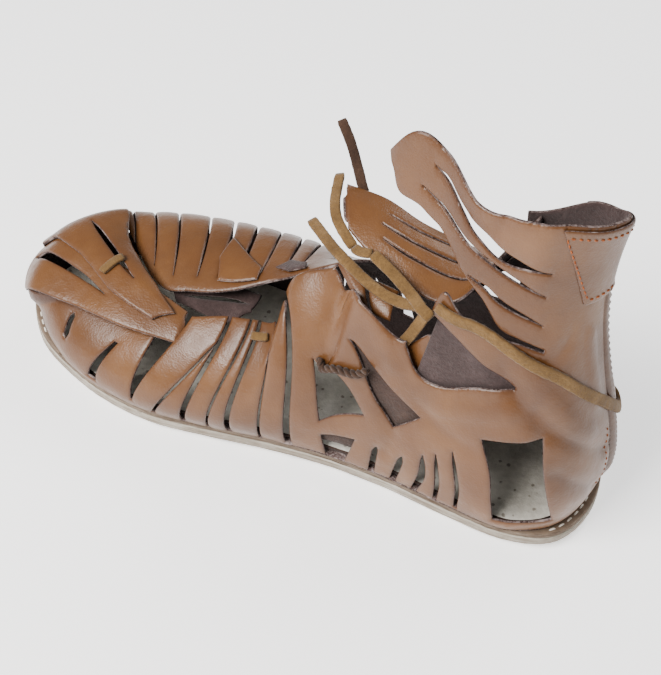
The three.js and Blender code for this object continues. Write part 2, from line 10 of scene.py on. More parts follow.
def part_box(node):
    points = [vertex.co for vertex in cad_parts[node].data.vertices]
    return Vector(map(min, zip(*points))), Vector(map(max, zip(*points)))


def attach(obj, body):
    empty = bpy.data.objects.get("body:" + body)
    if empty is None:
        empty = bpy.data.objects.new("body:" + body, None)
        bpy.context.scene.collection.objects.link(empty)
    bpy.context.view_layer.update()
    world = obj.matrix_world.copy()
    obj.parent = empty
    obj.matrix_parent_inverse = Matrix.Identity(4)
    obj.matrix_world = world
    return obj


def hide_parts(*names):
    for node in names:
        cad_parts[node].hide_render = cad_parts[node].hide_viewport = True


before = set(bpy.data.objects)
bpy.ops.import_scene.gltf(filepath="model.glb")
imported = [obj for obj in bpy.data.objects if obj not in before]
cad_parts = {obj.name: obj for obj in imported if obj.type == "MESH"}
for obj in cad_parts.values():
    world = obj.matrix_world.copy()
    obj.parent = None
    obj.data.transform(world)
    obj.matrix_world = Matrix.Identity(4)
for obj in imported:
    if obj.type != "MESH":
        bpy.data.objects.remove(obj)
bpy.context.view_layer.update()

# Shapes are worked out in millimetres in the drawing's own frame, and moved by SHIFT
nail_low, nail_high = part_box("hobnail_01")
SHIFT = np.array([(nail_low.x + nail_high.x) * 500 - 128, (nail_low.y + nail_high.y) * 500 + 11, 0.0])
link = bpy.context.scene.collection.objects.link


def to_frame(points):
    return (np.asarray(points, float) + SHIFT) / 1000


# Camera: the photograph's direction, distance and framing
AZIMUTH = math.radians(25)
ELEVATION = math.radians(48.5)
ROLL = math.radians(2)
DISTANCE = 0.7
back = Vector((math.sin(AZIMUTH) * math.cos(ELEVATION), -math.cos(AZIMUTH) * math.cos(ELEVATION),
               math.sin(ELEVATION)))
flat_right = Vector((math.cos(AZIMUTH), math.sin(AZIMUTH), 0))
flat_up = back.cross(flat_right)
right = flat_right * math.cos(ROLL) + flat_up * math.sin(ROLL)
up = flat_up * math.cos(ROLL) - flat_right * math.sin(ROLL)
camera_data = bpy.data.cameras.new("camera")
camera_data.lens = 77.2
camera_data.sensor_width = 36
camera_data.shift_x = 0.028
camera_data.shift_y = 0.102
camera = bpy.data.objects.new("camera", camera_data)
camera.matrix_world = Matrix.Translation(Vector(to_frame([0, 0, 0])) + back * DISTANCE) @ Matrix(
    (right, up, back)).transposed().to_4x4()
link(camera)
bpy.context.scene.camera = camera


# Materials
class Look:
    """A material with short ways to its nodes. A value is a number, a colour or a socket."""

    def __init__(self, name):
        self.material = bpy.data.materials.new(name)
        self.material.use_nodes = True
        self.tree = self.material.node_tree
        self.shader = self.tree.nodes["Principled BSDF"]
        self.coords = self.node("ShaderNodeTexCoord").outputs["Object"]
        self.noises = {}

    def feed(self, socket, value):
        if isinstance(value, bpy.types.NodeSocket):
            self.tree.links.new(value, socket)
        else:
            socket.default_value = (*value, 1) if socket.type == "RGBA" else value

    def node(self, kind, **values):
        node = self.tree.nodes.new(kind)
        for key, value in values.items():
            if key in node.inputs:
                self.feed(node.inputs[key], value)
            else:
                setattr(node, key, value)
        return node

    def noise(self, *key):
        """Noise by scale, detail, roughness and a stretch of the coordinates."""
        if key not in self.noises:
            coords = self.coords if len(key) < 4 else self.node(
                "ShaderNodeMapping", Vector=self.coords, Scale=key[3]).outputs["Vector"]
            self.noises[key] = self.node("ShaderNodeTexNoise", Vector=coords, Scale=key[0],
                                         Detail=key[1], Roughness=key[2]).outputs["Fac"]
        return self.noises[key]

    def cells(self, scale):
        return self.node("ShaderNodeTexVoronoi", Vector=self.coords, Scale=scale).outputs["Distance"]

    def ramp(self, source, stops):
        node = self.node("ShaderNodeValToRGB", Fac=source)
        elements = node.color_ramp.elements
        while len(elements) < len(stops):
            elements.new(0.5)
        for element, (place, color) in zip(elements, stops):
            element.position = place
            element.color = (*color, 1)
        return node.outputs["Color"]

    def mix(self, factor, a, b):
        node = self.node("ShaderNodeMix", data_type="RGBA")
        for index, value in ((0, factor), (6, a), (7, b)):
            self.feed(node.inputs[index], value)
        return node.outputs[2]

    def math(self, operation, a, b):
        node = self.node("ShaderNodeMath", operation=operation)
        self.feed(node.inputs[0], a)
        self.feed(node.inputs[1], b)
        return node.outputs[0]

    def remap(self, source, low, high, out_low, out_high):
        return self.node("ShaderNodeMapRange", Value=source, **{
            "From Min": low, "From Max": high, "To Min": out_low, "To Max": out_high}).outputs["Result"]

    def share_of(self, name, share):
        source = self.node("ShaderNodeAttribute", attribute_name=name).outputs["Fac"]
        return self.math("MULTIPLY", source, share)

    def finish(self, color, bumps=(), **values):
        """Feed the shader. Bumps of (height, depth in metres) lie one on another."""
        normal = None
        for height, depth in bumps:
            node = self.node("ShaderNodeBump", Strength=1.0, Height=height, Distance=depth)
            if normal:
                self.feed(node.inputs["Normal"], normal)
            normal = node.outputs["Normal"]
        if normal:
            values["Normal"] = normal
        for key, value in {"Base_Color": color, **values}.items():
            self.feed(self.shader.inputs[key.replace("_", " ")], value)
        return self.material


def grain_leather():
    look = Look("leather_grain")
    color = look.ramp(look.noise(22, 5, 0.6), [
        (0.3, (0.074, 0.0285, 0.0075)), (0.52, (0.116, 0.0475, 0.0135)), (0.75, (0.162, 0.071, 0.0215))])
    streak = look.noise(60, 4, 0.6, (1.0, 1.0, 0.35))
    for factor, over in (
            (look.remap(streak, 0.35, 0.7, 0.0, 0.4), (0.095, 0.033, 0.0085)),
            (look.remap(look.noise(420, 3, 0.6), 0.3, 0.7, 0.0, 0.15), (0.085, 0.031, 0.011)),
            (look.share_of("edge", 0.6), (0.06, 0.022, 0.009)),
            # Painted shade, from the sheet's shade mask
            (look.share_of("fold", 0.85), (0.035, 0.012, 0.006)),
            # Painted highlight, from the sheet's highlight mask
            (look.share_of("bright", 0.28), (0.42, 0.22, 0.11))):
        color = look.mix(factor, color, over)
    bumps = [(look.cells(1150.0), 0.00007), (look.noise(260, 5, 0.62, (1.0, 1.0, 0.6)), 0.00018),
             (look.noise(55, 3, 0.5), 0.0007)]
    return look.finish(color, bumps, Roughness=look.remap(look.noise(130, 4, 0.6), 0.3, 0.7, 0.30, 0.44),
                       Specular_IOR_Level=0.36, Coat_Weight=0.07, Coat_Roughness=0.25)


def matte(name, tone, stops, veil, bumps, rough, specular, edge=0.0, specks=0.0, **values):
    """One noise through a ramp of colours, and a dark colour over it. tone is a noise,
    veil is (noise, low, high, most, dark colour), and each bump is (noise, depth)."""
    look = Look(name)
    color = look.ramp(look.noise(*tone), stops)
    fibre, low, high, most, dark = veil
    if specks:
        ragged = look.remap(look.noise(*fibre), 0.3, 0.7, -0.12, 0.12)
        dots = look.remap(look.math("ADD", look.cells(190.0), ragged), 0.12, 0.2, 1.0, 0.0)
        color = look.mix(look.math("MULTIPLY", dots, specks), color, dark)
    if most:
        color = look.mix(look.remap(look.noise(*fibre), low, high, 0.0, most), color, dark)
    if edge:
        color = look.mix(look.share_of("edge", edge), color, dark)
    return look.finish(color, [(look.noise(*height), depth) for height, depth in bumps],
                       Roughness=rough, Specular_IOR_Level=specular, **values)


def flesh_leather(name, stops, dark):
    nap = (700, 5, 0.7)
    return matte(name, (60, 5, 0.65), stops, (nap, 0.35, 0.65, 0.5, dark),
                 [(nap, 0.0005), ((180, 4, 0.6), 0.0006)], 0.92, 0.15, Sheen_Weight=0.1,
                 Sheen_Roughness=0.6)


def suede(name, stops, dark):
    nap = (850, 4, 0.7)
    return matte(name, (90, 4, 0.6), stops, (nap, 0.35, 0.68, 0.45, dark),
                 [(nap, 0.0004), ((230, 4, 0.6), 0.0006)], 0.88, 0.2, edge=0.5, Sheen_Weight=0.12,
                 Sheen_Roughness=0.5)


def sole_leather(name, stops, specks, dark, depth=0.0005):
    fibre = (260, 6, 0.65)
    return matte(name, (45, 6, 0.65), stops, (fibre, 0.35, 0.65, 0.3, dark),
                 [(fibre, depth), ((1100, 3, 0.6), depth * 0.3)], 0.8, 0.25, specks=specks)


def layered_edge(name, light, dark):
    layers = (120, 6, 0.7, (0.5, 0.5, 9.0))
    return matte(name, layers, [(0.35, dark), (0.62, light)], ((70, 5, 0.7), 0.4, 0.65, 0.6, dark),
                 [(layers, 0.0008), ((800, 3, 0.6), 0.0003)], 0.9, 0.15)


def thread(name, light, dark):
    twist = (1500, 3, 0.6)
    return matte(name, twist, [(0.35, dark), (0.6, light)], (twist, 0, 1, 0, dark), [(twist, 0.0002)],
                 0.75, 0.3)


def iron():
    look = Look("iron")
    rust = look.noise(240, 5, 0.65)
    ridges = []
    for turn in (math.radians(45), math.radians(-45)):
        turned = look.node("ShaderNodeMapping", Vector=look.coords, Rotation=(0, 0, turn)).outputs["Vector"]
        ridges.append(look.node("ShaderNodeTexWave", Vector=turned, Scale=260.0).outputs["Fac"])
    color = look.ramp(rust, [(0.35, (0.018, 0.021, 0.027)), (0.6, (0.055, 0.062, 0.075)),
                             (0.8, (0.12, 0.115, 0.11))])
    return look.finish(color, [(look.math("MULTIPLY", *ridges), 0.00045), (rust, 0.0001)], Metallic=0.85,
                       Roughness=look.remap(rust, 0.3, 0.7, 0.28, 0.5))


GRAIN = grain_leather()
FLESH = flesh_leather("leather_flesh", [(0.3, (0.030, 0.0175, 0.016)), (0.55, (0.050, 0.031, 0.029)),
                                        (0.75, (0.085, 0.055, 0.052))], (0.017, 0.0095, 0.0085))
# A darker copy of the flesh leather: behind openings and under the ankle flap it paints the shade there
FLESH_DARK = flesh_leather("leather_flesh_dark", [
    (0.3, (0.024, 0.012, 0.008)), (0.55, (0.043, 0.022, 0.015)), (0.75, (0.07, 0.039, 0.028))],
    (0.014, 0.008, 0.006))
FIBRE = (900, 4, 0.7)
EDGE = matte("leather_cut_edge", (140, 4, 0.6), [
    (0.36, (0.028, 0.016, 0.014)), (0.54, (0.07, 0.045, 0.041)), (0.68, (0.27, 0.215, 0.20))],
    (FIBRE, 0.45, 0.66, 0.42, (0.40, 0.33, 0.31)), [(FIBRE, 0.0006)], 0.95, 0.12)
TAN = suede("thong_tan", [(0.3, (0.10, 0.054, 0.016)), (0.55, (0.16, 0.089, 0.029)),
                          (0.78, (0.24, 0.142, 0.055))], (0.05, 0.024, 0.008))
DARK = suede("thong_dark", [(0.3, (0.024, 0.011, 0.006)), (0.55, (0.048, 0.024, 0.0135)),
                            (0.78, (0.08, 0.043, 0.026))], (0.014, 0.007, 0.004))
OUTSOLE = sole_leather("outsole_leather", [(0.3, (0.34, 0.31, 0.25)), (0.6, (0.47, 0.44, 0.37)),
                                           (0.8, (0.57, 0.55, 0.49))], 0.35, (0.22, 0.18, 0.14))
OUTSOLE_SIDE = layered_edge("outsole_side", (0.46, 0.42, 0.36), (0.20, 0.16, 0.12))
MIDSOLE = layered_edge("midsole_side", (0.27, 0.21, 0.16), (0.075, 0.05, 0.035))
RIM_TOP = sole_leather("rim_top", [(0.3, (0.13, 0.09, 0.06)), (0.6, (0.21, 0.155, 0.11)),
                                   (0.8, (0.31, 0.25, 0.19))], 0.3, (0.07, 0.048, 0.033), 0.0007)
INSOLE = sole_leather("insole_leather", [(0.3, (0.36, 0.34, 0.29)), (0.55, (0.52, 0.50, 0.44)),
                                         (0.8, (0.68, 0.66, 0.60))], 0.8, (0.13, 0.11, 0.085))
IRON = iron()
WHITE_THREAD = thread("thread_white", (0.80, 0.76, 0.68), (0.50, 0.44, 0.36))
BROWN_THREAD = thread("thread_brown", (0.32, 0.085, 0.02), (0.10, 0.026, 0.008))

# Driving dimensions, in millimetres
SOLE_LENGTH = 293
HEEL_X = 142
LEATHER = 2
CLEARANCE = 0.3
MARGIN_BOTTOM = 11.3
FEATHER_LIFT = 1.4
DELTA = 0.002
OUTLINE = [
    (0.012, 17, 21), (0.045, 29, 28), (0.11, 35, 34), (0.2, 34.5, 39), (0.3, 32.5, 44),
    (0.4, 33, 48.5), (0.5, 37, 51.5), (0.6, 43, 53), (0.69, 47.5, 53), (0.78, 46.5, 50),
    (0.86, 41, 43), (0.93, 32, 33), (0.98, 17, 20),
]
# Form of the upper: r, then x y z of the top line, and the leans outA upA outB downB
FORM = np.array([
    (-1, -143, 0, 44, 0, 14, 0, 14), (-0.95, -139, -24, 38, 1, 12, 1, 12),
    (-0.9, -112, -22, 43, 3, 16, 6, 4), (-0.83, -90, -20, 46, 5, 18, 10, 4),
    (-0.77, -72, -20, 48, 7, 18, 12, 4), (-0.7, -52, -22, 56, 10, 18, 10, 6),
    (-0.65, -36, -18, 60, 13, 18, 12, 6), (-0.61, -23, -17, 63, 14, 18, 14, 6),
    (-0.55, -9, -15, 68, 14, 18, 18, 6), (-0.515, -5, -8, 90, 12, 22, 18, 14),
    (-0.47, 13, -5, 102, 10, 28, 18, 20), (-0.44, 22, -7, 118, 8, 32, 12, 30),
    (-0.41, 31, -11, 166, 7, 38, 8, 50), (-0.38, 44, -12, 190, 7, 40, 8, 61),
    (-0.33, 60, -14, 187, 7, 44, 10, 69), (-0.28, 76, -22, 175.5, 7, 44, 3, 64),
    (-0.22, 93, -24, 176.5, 8, 44, -2, 66), (-0.14, 110, -20, 178, 14, 44, -10, 74),
    (-0.07, 121, -11, 175, 20, 40, -14, 75), (0, 126, 0, 173, 22, 40, -14, 75),
    (0.07, 121, 5, 170, 20, 40, -10, 75), (0.14, 110, 8, 166, 16, 44, -2, 64),
    (0.22, 93, 7, 155, 12, 44, 6, 56), (0.29, 70, 5, 148, 10, 44, 12, 46),
    (0.36, 46, 4, 128, 8, 40, 14, 34), (0.43, 26, 4, 106, 8, 38, 18, 24),
    (0.49, 10, 3, 94, 8, 38, 22, 14), (0.54, -8, 3, 80, 9, 42, 28, 0),
    (0.6, -22, 3, 70, 10, 44, 32, -6), (0.66, -40, -4, 62, 12, 46, 36, -10),
    (0.75, -60, -8, 56, 12, 44, 38, -12), (0.82, -80, -6, 52, 11, 40, 34, -10),
    (0.87, -117, 25, 51, 8, 30, 6, 0), (0.92, -131, 20, 50, 4, 24, 4, 8),
    (1, -143, 0, 44, 0, 14, 0, 14),
], float)
# Openings, edge a against edge b, each as r and share of height t
OPENINGS = {
    "ankle_inner": [(-0.14, 0.68, -0.14, 0.67), (-0.185, 0.695, -0.18, 0.678),
                    (-0.219, 0.714, -0.225, 0.685), (-0.253, 0.785, -0.27, 0.71),
                    (-0.296, 0.838, -0.3, 0.735), (-0.321, 0.852, -0.315, 0.62),
                    (-0.35, 0.85, -0.333, 0.54), (-0.382, 0.86, -0.37, 0.54),
                    (-0.395, 0.95, -0.405, 0.62), (-0.408, 1.05, -0.445, 0.84),
                    (-0.46, 1.05, -0.472, 0.99)],
    "instep_lens": [(-0.17, 0.555, -0.17, 0.545), (-0.22, 0.59, -0.22, 0.52),
                    (-0.273, 0.65, -0.273, 0.48), (-0.31, 0.66, -0.308, 0.48),
                    (-0.335, 0.62, -0.332, 0.53)],
    "flap_triangle": [(-0.467, 0.56, -0.465, 0.55), (-0.448, 0.39, -0.41, 0.375),
                      (-0.432, 0.21, -0.367, 0.25)],
    "flap_slot": [(-0.407, 0.5, -0.404, 0.495), (-0.37, 0.36, -0.37, 0.42),
                  (-0.323, 0.25, -0.288, 0.34)],
    "waist_window": [(-0.427, 0.13, -0.375, 0.14), (-0.417, -0.03, -0.392, -0.03)],
    "heel_window": [(-0.198, 0.36, -0.115, 0.42), (-0.175, 0.25, -0.107, 0.3),
                    (-0.166, 0.14, -0.095, 0.17), (-0.16, 0.04, -0.085, 0.07)],
    "front_triangle": [(-0.714, 0.11, -0.712, 0.11), (-0.733, 0.67, -0.702, 0.62),
                       (-0.75, 1.05, -0.695, 1.05)],
    "toe_gap": [(-0.794, 0.08, -0.778, 0.08), (-0.784, 0.56, -0.778, 0.56)],
    "ankle_outer": [(0.24, 1.05, 0.24, 0.54),
                    (0.273, 1.05, 0.273, 0.48), (0.33, 1.05, 0.33, 0.52),
                    (0.37, 1.05, 0.37, 0.56), (0.41, 1.05, 0.41, 0.66), (0.46, 1.05, 0.475, 1)],
    "outer_triangle": [(0.462, 0.42, 0.46, 0.42), (0.45, 0.16, 0.43, 0.16)],
    "outer_waist": [(0.418, 0.4, 0.416, 0.4), (0.405, 0.16, 0.385, 0.16)],
}
# Slits: r and t along the middle, half of the width
SLITS = [
    [(-0.343, 0.14, 1.4), (-0.348, -0.01, 1.6)],
    [(-0.302, 0.15, 1.2), (-0.308, 0.07, 1.6), (-0.315, -0.01, 1.4)],
    [(-0.273, 0.2, 0.8), (-0.27, 0.1, 1.8), (-0.28, 0, 1.4)],
    [(-0.255, 0.23, 0.7), (-0.246, 0.1, 1.2), (-0.247, 0, 1)],
    [(-0.233, 0.27, 0.7), (-0.216, 0.13, 1.1), (-0.215, 0.01, 0.9)],
    [(-0.345, 0.955, 0.7), (-0.321, 0.956, 1), (-0.296, 0.946, 1.2), (-0.266, 0.932, 2.2),
     (-0.225, 0.896, 2.4), (-0.158, 0.88, 0.6)],
    [(-0.358, 0.893, 0.6), (-0.295, 0.9, 0.8), (-0.262, 0.888, 0.9), (-0.221, 0.855, 0.9),
     (-0.159, 0.82, 0.6)],
    [(-0.275, 0.826, 0.5), (-0.25, 0.812, 0.9), (-0.22, 0.778, 1.1), (-0.152, 0.742, 0.6)],
    [(-0.852, 0.28, 1.6), (-0.875, 0.6, 1.2)],
    [(-0.68, 0.02, 0.8), (-0.64, 0.8, 0.5)],
    [(-0.633, -0.02, 1.4), (-0.638, 0.5, 1.3), (-0.642, 1.05, 1)],
    [(-0.595, -0.02, 0.6), (-0.61, 1.05, 0.6)],
    [(-0.562, -0.02, 1.4), (-0.585, 0.7, 1.1), (-0.595, 1.05, 0.8)],
    [(-0.517, -0.02, 0.7), (-0.53, 0.6, 0.7), (-0.558, 1.05, 1.2)],
    [(-0.474, -0.02, 1.8), (-0.492, 0.5, 1.4), (-0.535, 1.05, 1.2)],
    [(0.86, 0.16, 0.8), (0.848, 1.05, 0.9)],
    [(0.825, 0.14, 0.6), (0.823, 0.93, 0.5)],
    [(0.787, 0.14, 0.6), (0.79, 0.93, 0.5)],
    [(0.738, 0.14, 0.6), (0.743, 0.93, 0.5)],
    [(0.7, 0.14, 1), (0.7, 0.93, 0.8)],
    [(0.66, 0.14, 1), (0.662, 0.93, 0.8)],
    [(0.623, 0.14, 0.6), (0.628, 0.93, 0.5)],
    [(0.588, 0.14, 1.1), (0.59, 0.93, 0.9)],
    [(0.55, 0.14, 1.1), (0.552, 0.93, 0.9)],
    [(0.508, 0.14, 1.1), (0.512, 0.86, 0.9)],
]
TOE_FLAP = (
    [(-140.5, -25, 36.5), (-130, -31.5, 45), (-104, -34, 48), (-80, -36, 49), (-53, -33, 48)],
    [(-144, 1, 42.5), (-131, -2, 54), (-108, -9, 57), (-84, -19, 57), (-54, -26, 52)],
    [(-117, 27, 49.5), (-113, 25, 57), (-99, 4, 58), (-80, -9, 58), (-55, -18, 54)],
)
TOE_SLITS = [
    [(0.06, 0.3, 1.4), (0.25, 0.29, 2.2), (0.62, 0.2, 0.8)],
]
TOE_STRAP_SLITS = [
    [(0.28, 0.72, 0.9), (0.5, 0.69, 1.4), (0.74, 0.62, 0.7)],
]
ANKLE_FLAP = (
    [(92, 7, 154), (82, 0, 137), (68, -14, 114), (46, -14, 114), (27, -9, 120), (15, -3, 123)],
    [(93, 14.6, 130), (82, 14, 121), (68, 6, 117), (46, 2, 122), (26, 4, 126), (9, 8, 128)],
    [(92, 22, 106), (81, 25, 107), (66, 22, 112), (44, 15, 123), (24, 17, 128), (4, 19, 126)],
)
FLAP_SLITS = [
    [(0.12, 0.27, 0.4), (0.45, 0.3, 0.55), (0.75, 0.3, 0.5)],
    [(0.12, 0.52, 0.4), (0.45, 0.52, 0.55), (0.78, 0.5, 0.5)],
    [(0.12, 0.77, 0.4), (0.45, 0.76, 0.55), (0.76, 0.74, 0.5)],
]
HEEL_THONG = [(-0.302, 0.7), (-0.27, 0.705), (-0.241, 0.703), (-0.172, 0.652), (-0.099, 0.605),
              (-0.041, 0.527), (0, 0.45), (0.03, 0.385), (0.06, 0.35), (0.1, 0.36), (0.14, 0.41)]
LACES = {
    "lace_front": [(-10, 15, 103), (10, -2, 107), (34, -17, 109.5), (48, -21, 110.5), (59, -23.5, 115.2)],
    "lace_over": [(31, -12.4, 122.8), (41, -15.6, 119.8), (52, -21.5, 118), (60, -28, 118.3),
                  (65.2, -31, 118.5)],
    "lace_branch": [(60.8, -22.6, 112.2), (58, -24, 105), (55, -26, 98), (52, -26, 92), (50, -23.5, 84.5)],
    "lace_flap": [(-2, 25, 124.5), (3, 10, 124), (8, 1, 123), (14.2, -5, 122), (21, -9.8, 120.4)],
    "lace_end": [(13, 18.6, 125.2), (11, 19.9, 126.8), (6, 25, 132), (0, 30, 139), (-6.5, 34, 146)],
}
NAILS = [
    (14, 11), (24, -12), (28, 11), (32, -3), (41, 26), (43, 13.5), (56, -20), (58, -7), (63, 17),
    (75, 24.5), (76, 6), (85, -24), (89, -1), (97, -12), (98, 11), (104, 24), (116, -16), (119, -30),
    (125, 17), (136, 26.5), (139, 0), (154, -34), (156, 5), (159, 20), (169, 32.5), (177, -17),
    (181, 23), (191, -36), (201, 37), (204, 11), (215, -15), (227, -31), (232, 14), (237, 31),
    (243, -5), (262, -22), (264, 12), (274, 20), (280, -3),
]
# Creases of the wall: r and t along the crease, half width and depth in mm, below 0 for a ridge
CREASES = [
    ([(-0.20, 0.60), (-0.15, 0.50), (-0.12, 0.44)], 5, 1.1),
    ([(-0.16, 0.62), (-0.10, 0.52), (-0.05, 0.42)], 4, -0.9),
    ([(-0.13, 0.50), (-0.07, 0.40), (-0.02, 0.30)], 4, 1.2),
    ([(-0.09, 0.30), (-0.05, 0.2), (-0.02, 0.12)], 4, 1.0),
    ([(-0.26, 0.42), (-0.22, 0.44), (-0.17, 0.48)], 5, -0.8),
    ([(-0.29, 0.38), (-0.25, 0.33), (-0.21, 0.31)], 5, 0.8),
    ([(-0.34, 0.30), (-0.32, 0.22), (-0.33, 0.14)], 4, 0.7),
    ([(-0.40, 0.60), (-0.37, 0.52), (-0.34, 0.46)], 4, -0.8),
    ([(-0.43, 0.70), (-0.42, 0.60), (-0.43, 0.50)], 4, 0.8),
    ([(-0.05, 0.72), (-0.04, 0.6), (-0.03, 0.5)], 3, -0.7),
    ([(-0.10, 0.72), (-0.12, 0.66), (-0.16, 0.63)], 3, 0.6),
    ([(0.04, 0.30), (0.08, 0.42), (0.12, 0.48)], 5, 1.2),
    ([(0.1, 0.24), (0.15, 0.34), (0.22, 0.38)], 6, -1.0),
    ([(0.2, 0.2), (0.26, 0.3), (0.33, 0.32)], 5, 0.9),
    ([(0.05, 0.75), (0.09, 0.62), (0.16, 0.52)], 5, -0.8),
    ([(-0.17, 0.99), (-0.18, 0.93), (-0.17, 0.86)], 7, -0.7),
    ([(-0.24, 0.99), (-0.25, 0.96), (-0.29, 0.96)], 4, 0.7),
]
RISE = 330.0
# The seam at the heel: middle and half width in mm along the wall, then height in mm or shade
SEAM_RIDGES = [(3, 1.7, 1.7), (-0.3, 1.0, -1.1), (6.4, 1.2, -0.8)]
SEAM_SHADES = [(-0.3, 1.2, 1), (2, 2.4, 0.5), (6.4, 1.4, 0.8)]
# Millimetres for one of each number of a surface, as its mesh is laid out
WALL_UNIT = (RISE, 110.0)
PATCH_UNIT = (RISE, 175.0)
TOE_UNIT = (95.0, 60.0)
ANKLE_UNIT = (115.0, 50.0)
# How far a raw edge rounds off, how much, and how far in the leather swells
EDGE_REACH, EDGE_DROP, SWELL_REACH = 0.95, 0.5, 3.5
EDGE_RINGS = (0.35, 0.95)
# Faces of a sole layer steeper than this, as the height of their normal, are its side
SIDE_SLOPE = 0.75
# Height of a second layer over the leather it lies on
ON_LEATHER = LEATHER + 0.5


# Curves and surfaces, the same as the solids'
def flat(*values):
    return [np.asarray(value, float).ravel() for value in values]


def unit_rows(rows):
    return rows / np.maximum(np.linalg.norm(rows, axis=-1, keepdims=True), 1e-9)


def lengths_of(path):
    return np.concatenate([[0], np.cumsum(np.linalg.norm(np.diff(path, axis=0), axis=1))])


def catmull(points, share, closed=False):
    points = np.asarray(points, float)
    share = np.asarray(share, float)
    if closed:
        place = (share % 1.0) * len(points)
        padded = np.vstack([points[-1:], points, points[:2]])
    else:
        place = np.clip(share, 0, 1) * (len(points) - 1)
        padded = np.vstack([2 * points[0] - points[1], points, 2 * points[-1] - points[-2]])
    index = np.minimum(np.floor(place).astype(int), len(padded) - 4)
    s = (place - index)[..., None]
    a, b, c, d = (padded[index + k] for k in range(4))
    return 0.5 * (2 * b + (c - a) * s + (2 * a - 5 * b + 4 * c - d) * s ** 2
                  + (3 * b - a - 3 * c + d) * s ** 3)


def spring_at(x):
    return 9 * np.maximum(0, (-np.asarray(x, float) - 60) / 90) ** 2


RING = ([(HEEL_X, 2, 0)] + [(HEEL_X - a * SOLE_LENGTH, -b, 0) for a, b, _ in OUTLINE]
        + [(HEEL_X - SOLE_LENGTH, -3, 0)]
        + [(HEEL_X - a * SOLE_LENGTH, c, 0) for a, _, c in reversed(OUTLINE)])


def outline_at(side, share):
    share = np.asarray(share, float)
    u = share / 2 if side < 0 else 1 - share / 2
    point, ahead, behind = (catmull(RING, u + step, True) for step in (0, DELTA, -DELTA))
    return point, unit_rows(np.stack([behind[..., 1] - ahead[..., 1], ahead[..., 0] - behind[..., 0],
                                      np.zeros_like(share)], -1))


def rim_at(x):
    share = (HEEL_X - np.asarray(x, float)) / SOLE_LENGTH
    return 1.5 + 6 * (np.clip(1 - share / 0.1, 0, 1) + np.clip(1 - (1 - share) / 0.14, 0, 1))


def foot_edge(side):
    point, normal = outline_at(side, np.linspace(0, 1, 241))
    place = point - normal * rim_at(point[:, 0])[:, None]
    length = lengths_of(place)
    return place, normal, length / length[-1]


FOOT_EDGES = {-1: foot_edge(-1), 1: foot_edge(1)}


def foot_at(r):
    turn = r - 2 * np.floor((r + 1) / 2)
    place, normal = np.zeros((2, len(r), 3))
    for side, chosen in ((-1, turn < 0), (1, turn >= 0)):
        places, normals, shares = FOOT_EDGES[side]
        for k in range(3):
            place[chosen, k] = np.interp(np.abs(turn[chosen]), shares, places[:, k])
            normal[chosen, k] = np.interp(np.abs(turn[chosen]), shares, normals[:, k])
    return place, unit_rows(normal)


LOW = np.maximum(np.arange(len(FORM)) - 1, 0)
HIGH = np.minimum(np.arange(len(FORM)) + 1, len(FORM) - 1)
SLOPES = (FORM[HIGH] - FORM[LOW]) / (FORM[HIGH, :1] - FORM[LOW, :1])


def form_at(r):
    turn = r - 2 * np.floor((r + 1) / 2)
    index = np.clip(np.searchsorted(FORM[:, 0], turn) - 1, 0, len(FORM) - 2)
    a, b = FORM[index], FORM[index + 1]
    span = (b[:, :1] - a[:, :1])
    s = (turn[:, None] - a[:, :1]) / span
    return ((2 * s ** 3 - 3 * s ** 2 + 1) * a + (s ** 3 - 2 * s ** 2 + s) * span * SLOPES[index]
            + (3 * s ** 2 - 2 * s ** 3) * b + (s ** 3 - s ** 2) * span * SLOPES[index + 1])


def plain_wall(r, t):
    r, t = flat(r, t)
    t = t[:, None]
    place, normal = foot_at(r)
    form = form_at(r)
    foot = place.copy()
    foot[:, 2] = MARGIN_BOTTOM + FEATHER_LIFT + spring_at(place[:, 0])
    top = form[:, 1:4]
    handle_a = foot + normal * form[:, 4:5]
    handle_a[:, 2] += form[:, 5]
    handle_b = top + normal * form[:, 6:7]
    handle_b[:, 2] -= form[:, 7]
    return ((1 - t) ** 3 * foot + 3 * (1 - t) ** 2 * t * handle_a
            + 3 * (1 - t) * t ** 2 * handle_b + t ** 3 * top)


def steps_of(surface, u, v):
    return surface(u + DELTA, v) - surface(u - DELTA, v), surface(u, v + DELTA) - surface(u, v - DELTA)


def normals_of(surface, u, v):
    return unit_rows(np.cross(*steps_of(surface, u, v)))


def line_distance(places, line):
    """Distance of each place from a polyline, in the same flat units."""
    best = np.full(len(places), 1e9)
    for a, b in zip(line[:-1], line[1:]):
        run = b - a
        share = np.clip(((places - a) @ run) / max(run @ run, 1e-9), 0, 1)
        best = np.minimum(best, np.linalg.norm(places - (a + share[:, None] * run), axis=1))
    return best


def seam_bands(r, t, rows):
    ends = np.clip((t - 0.1) / 0.06, 0, 1) * np.clip((0.84 - t) / 0.04, 0, 1)
    return ends * sum(strength * np.exp(-((r * RISE - middle) / half) ** 2)
                      for middle, half, strength in rows)


def wall_relief(r, t):
    """Soft folds of the wall, in millimetres outwards."""
    height = np.interp(r, FORM[:, 0], FORM[:, 3] - 12) + 10
    total = np.zeros(len(r))
    for line, half, depth in CREASES:
        middle = np.mean([p[0] for p in line])
        scale = float(np.interp(middle, FORM[:, 0], FORM[:, 3]))
        near = np.abs(r - middle) < 0.3
        places = np.stack([r[near] * RISE, t[near] * scale], 1)
        away = line_distance(places, np.array(line) * (RISE, scale))
        total[near] -= 1.4 * depth * np.exp(-(away / half) ** 2)
    total += seam_bands(r, t, SEAM_RIDGES)
    total += 0.25 * np.sin(r * 46 + t * 5) * np.sin(t * 11 + r * 13) * np.clip(height / 120, 0.2, 1)
    return total


def wall(r, t):
    r, t = flat(r, t)
    return plain_wall(r, t) + normals_of(plain_wall, r, t) * wall_relief(r, t)[:, None]


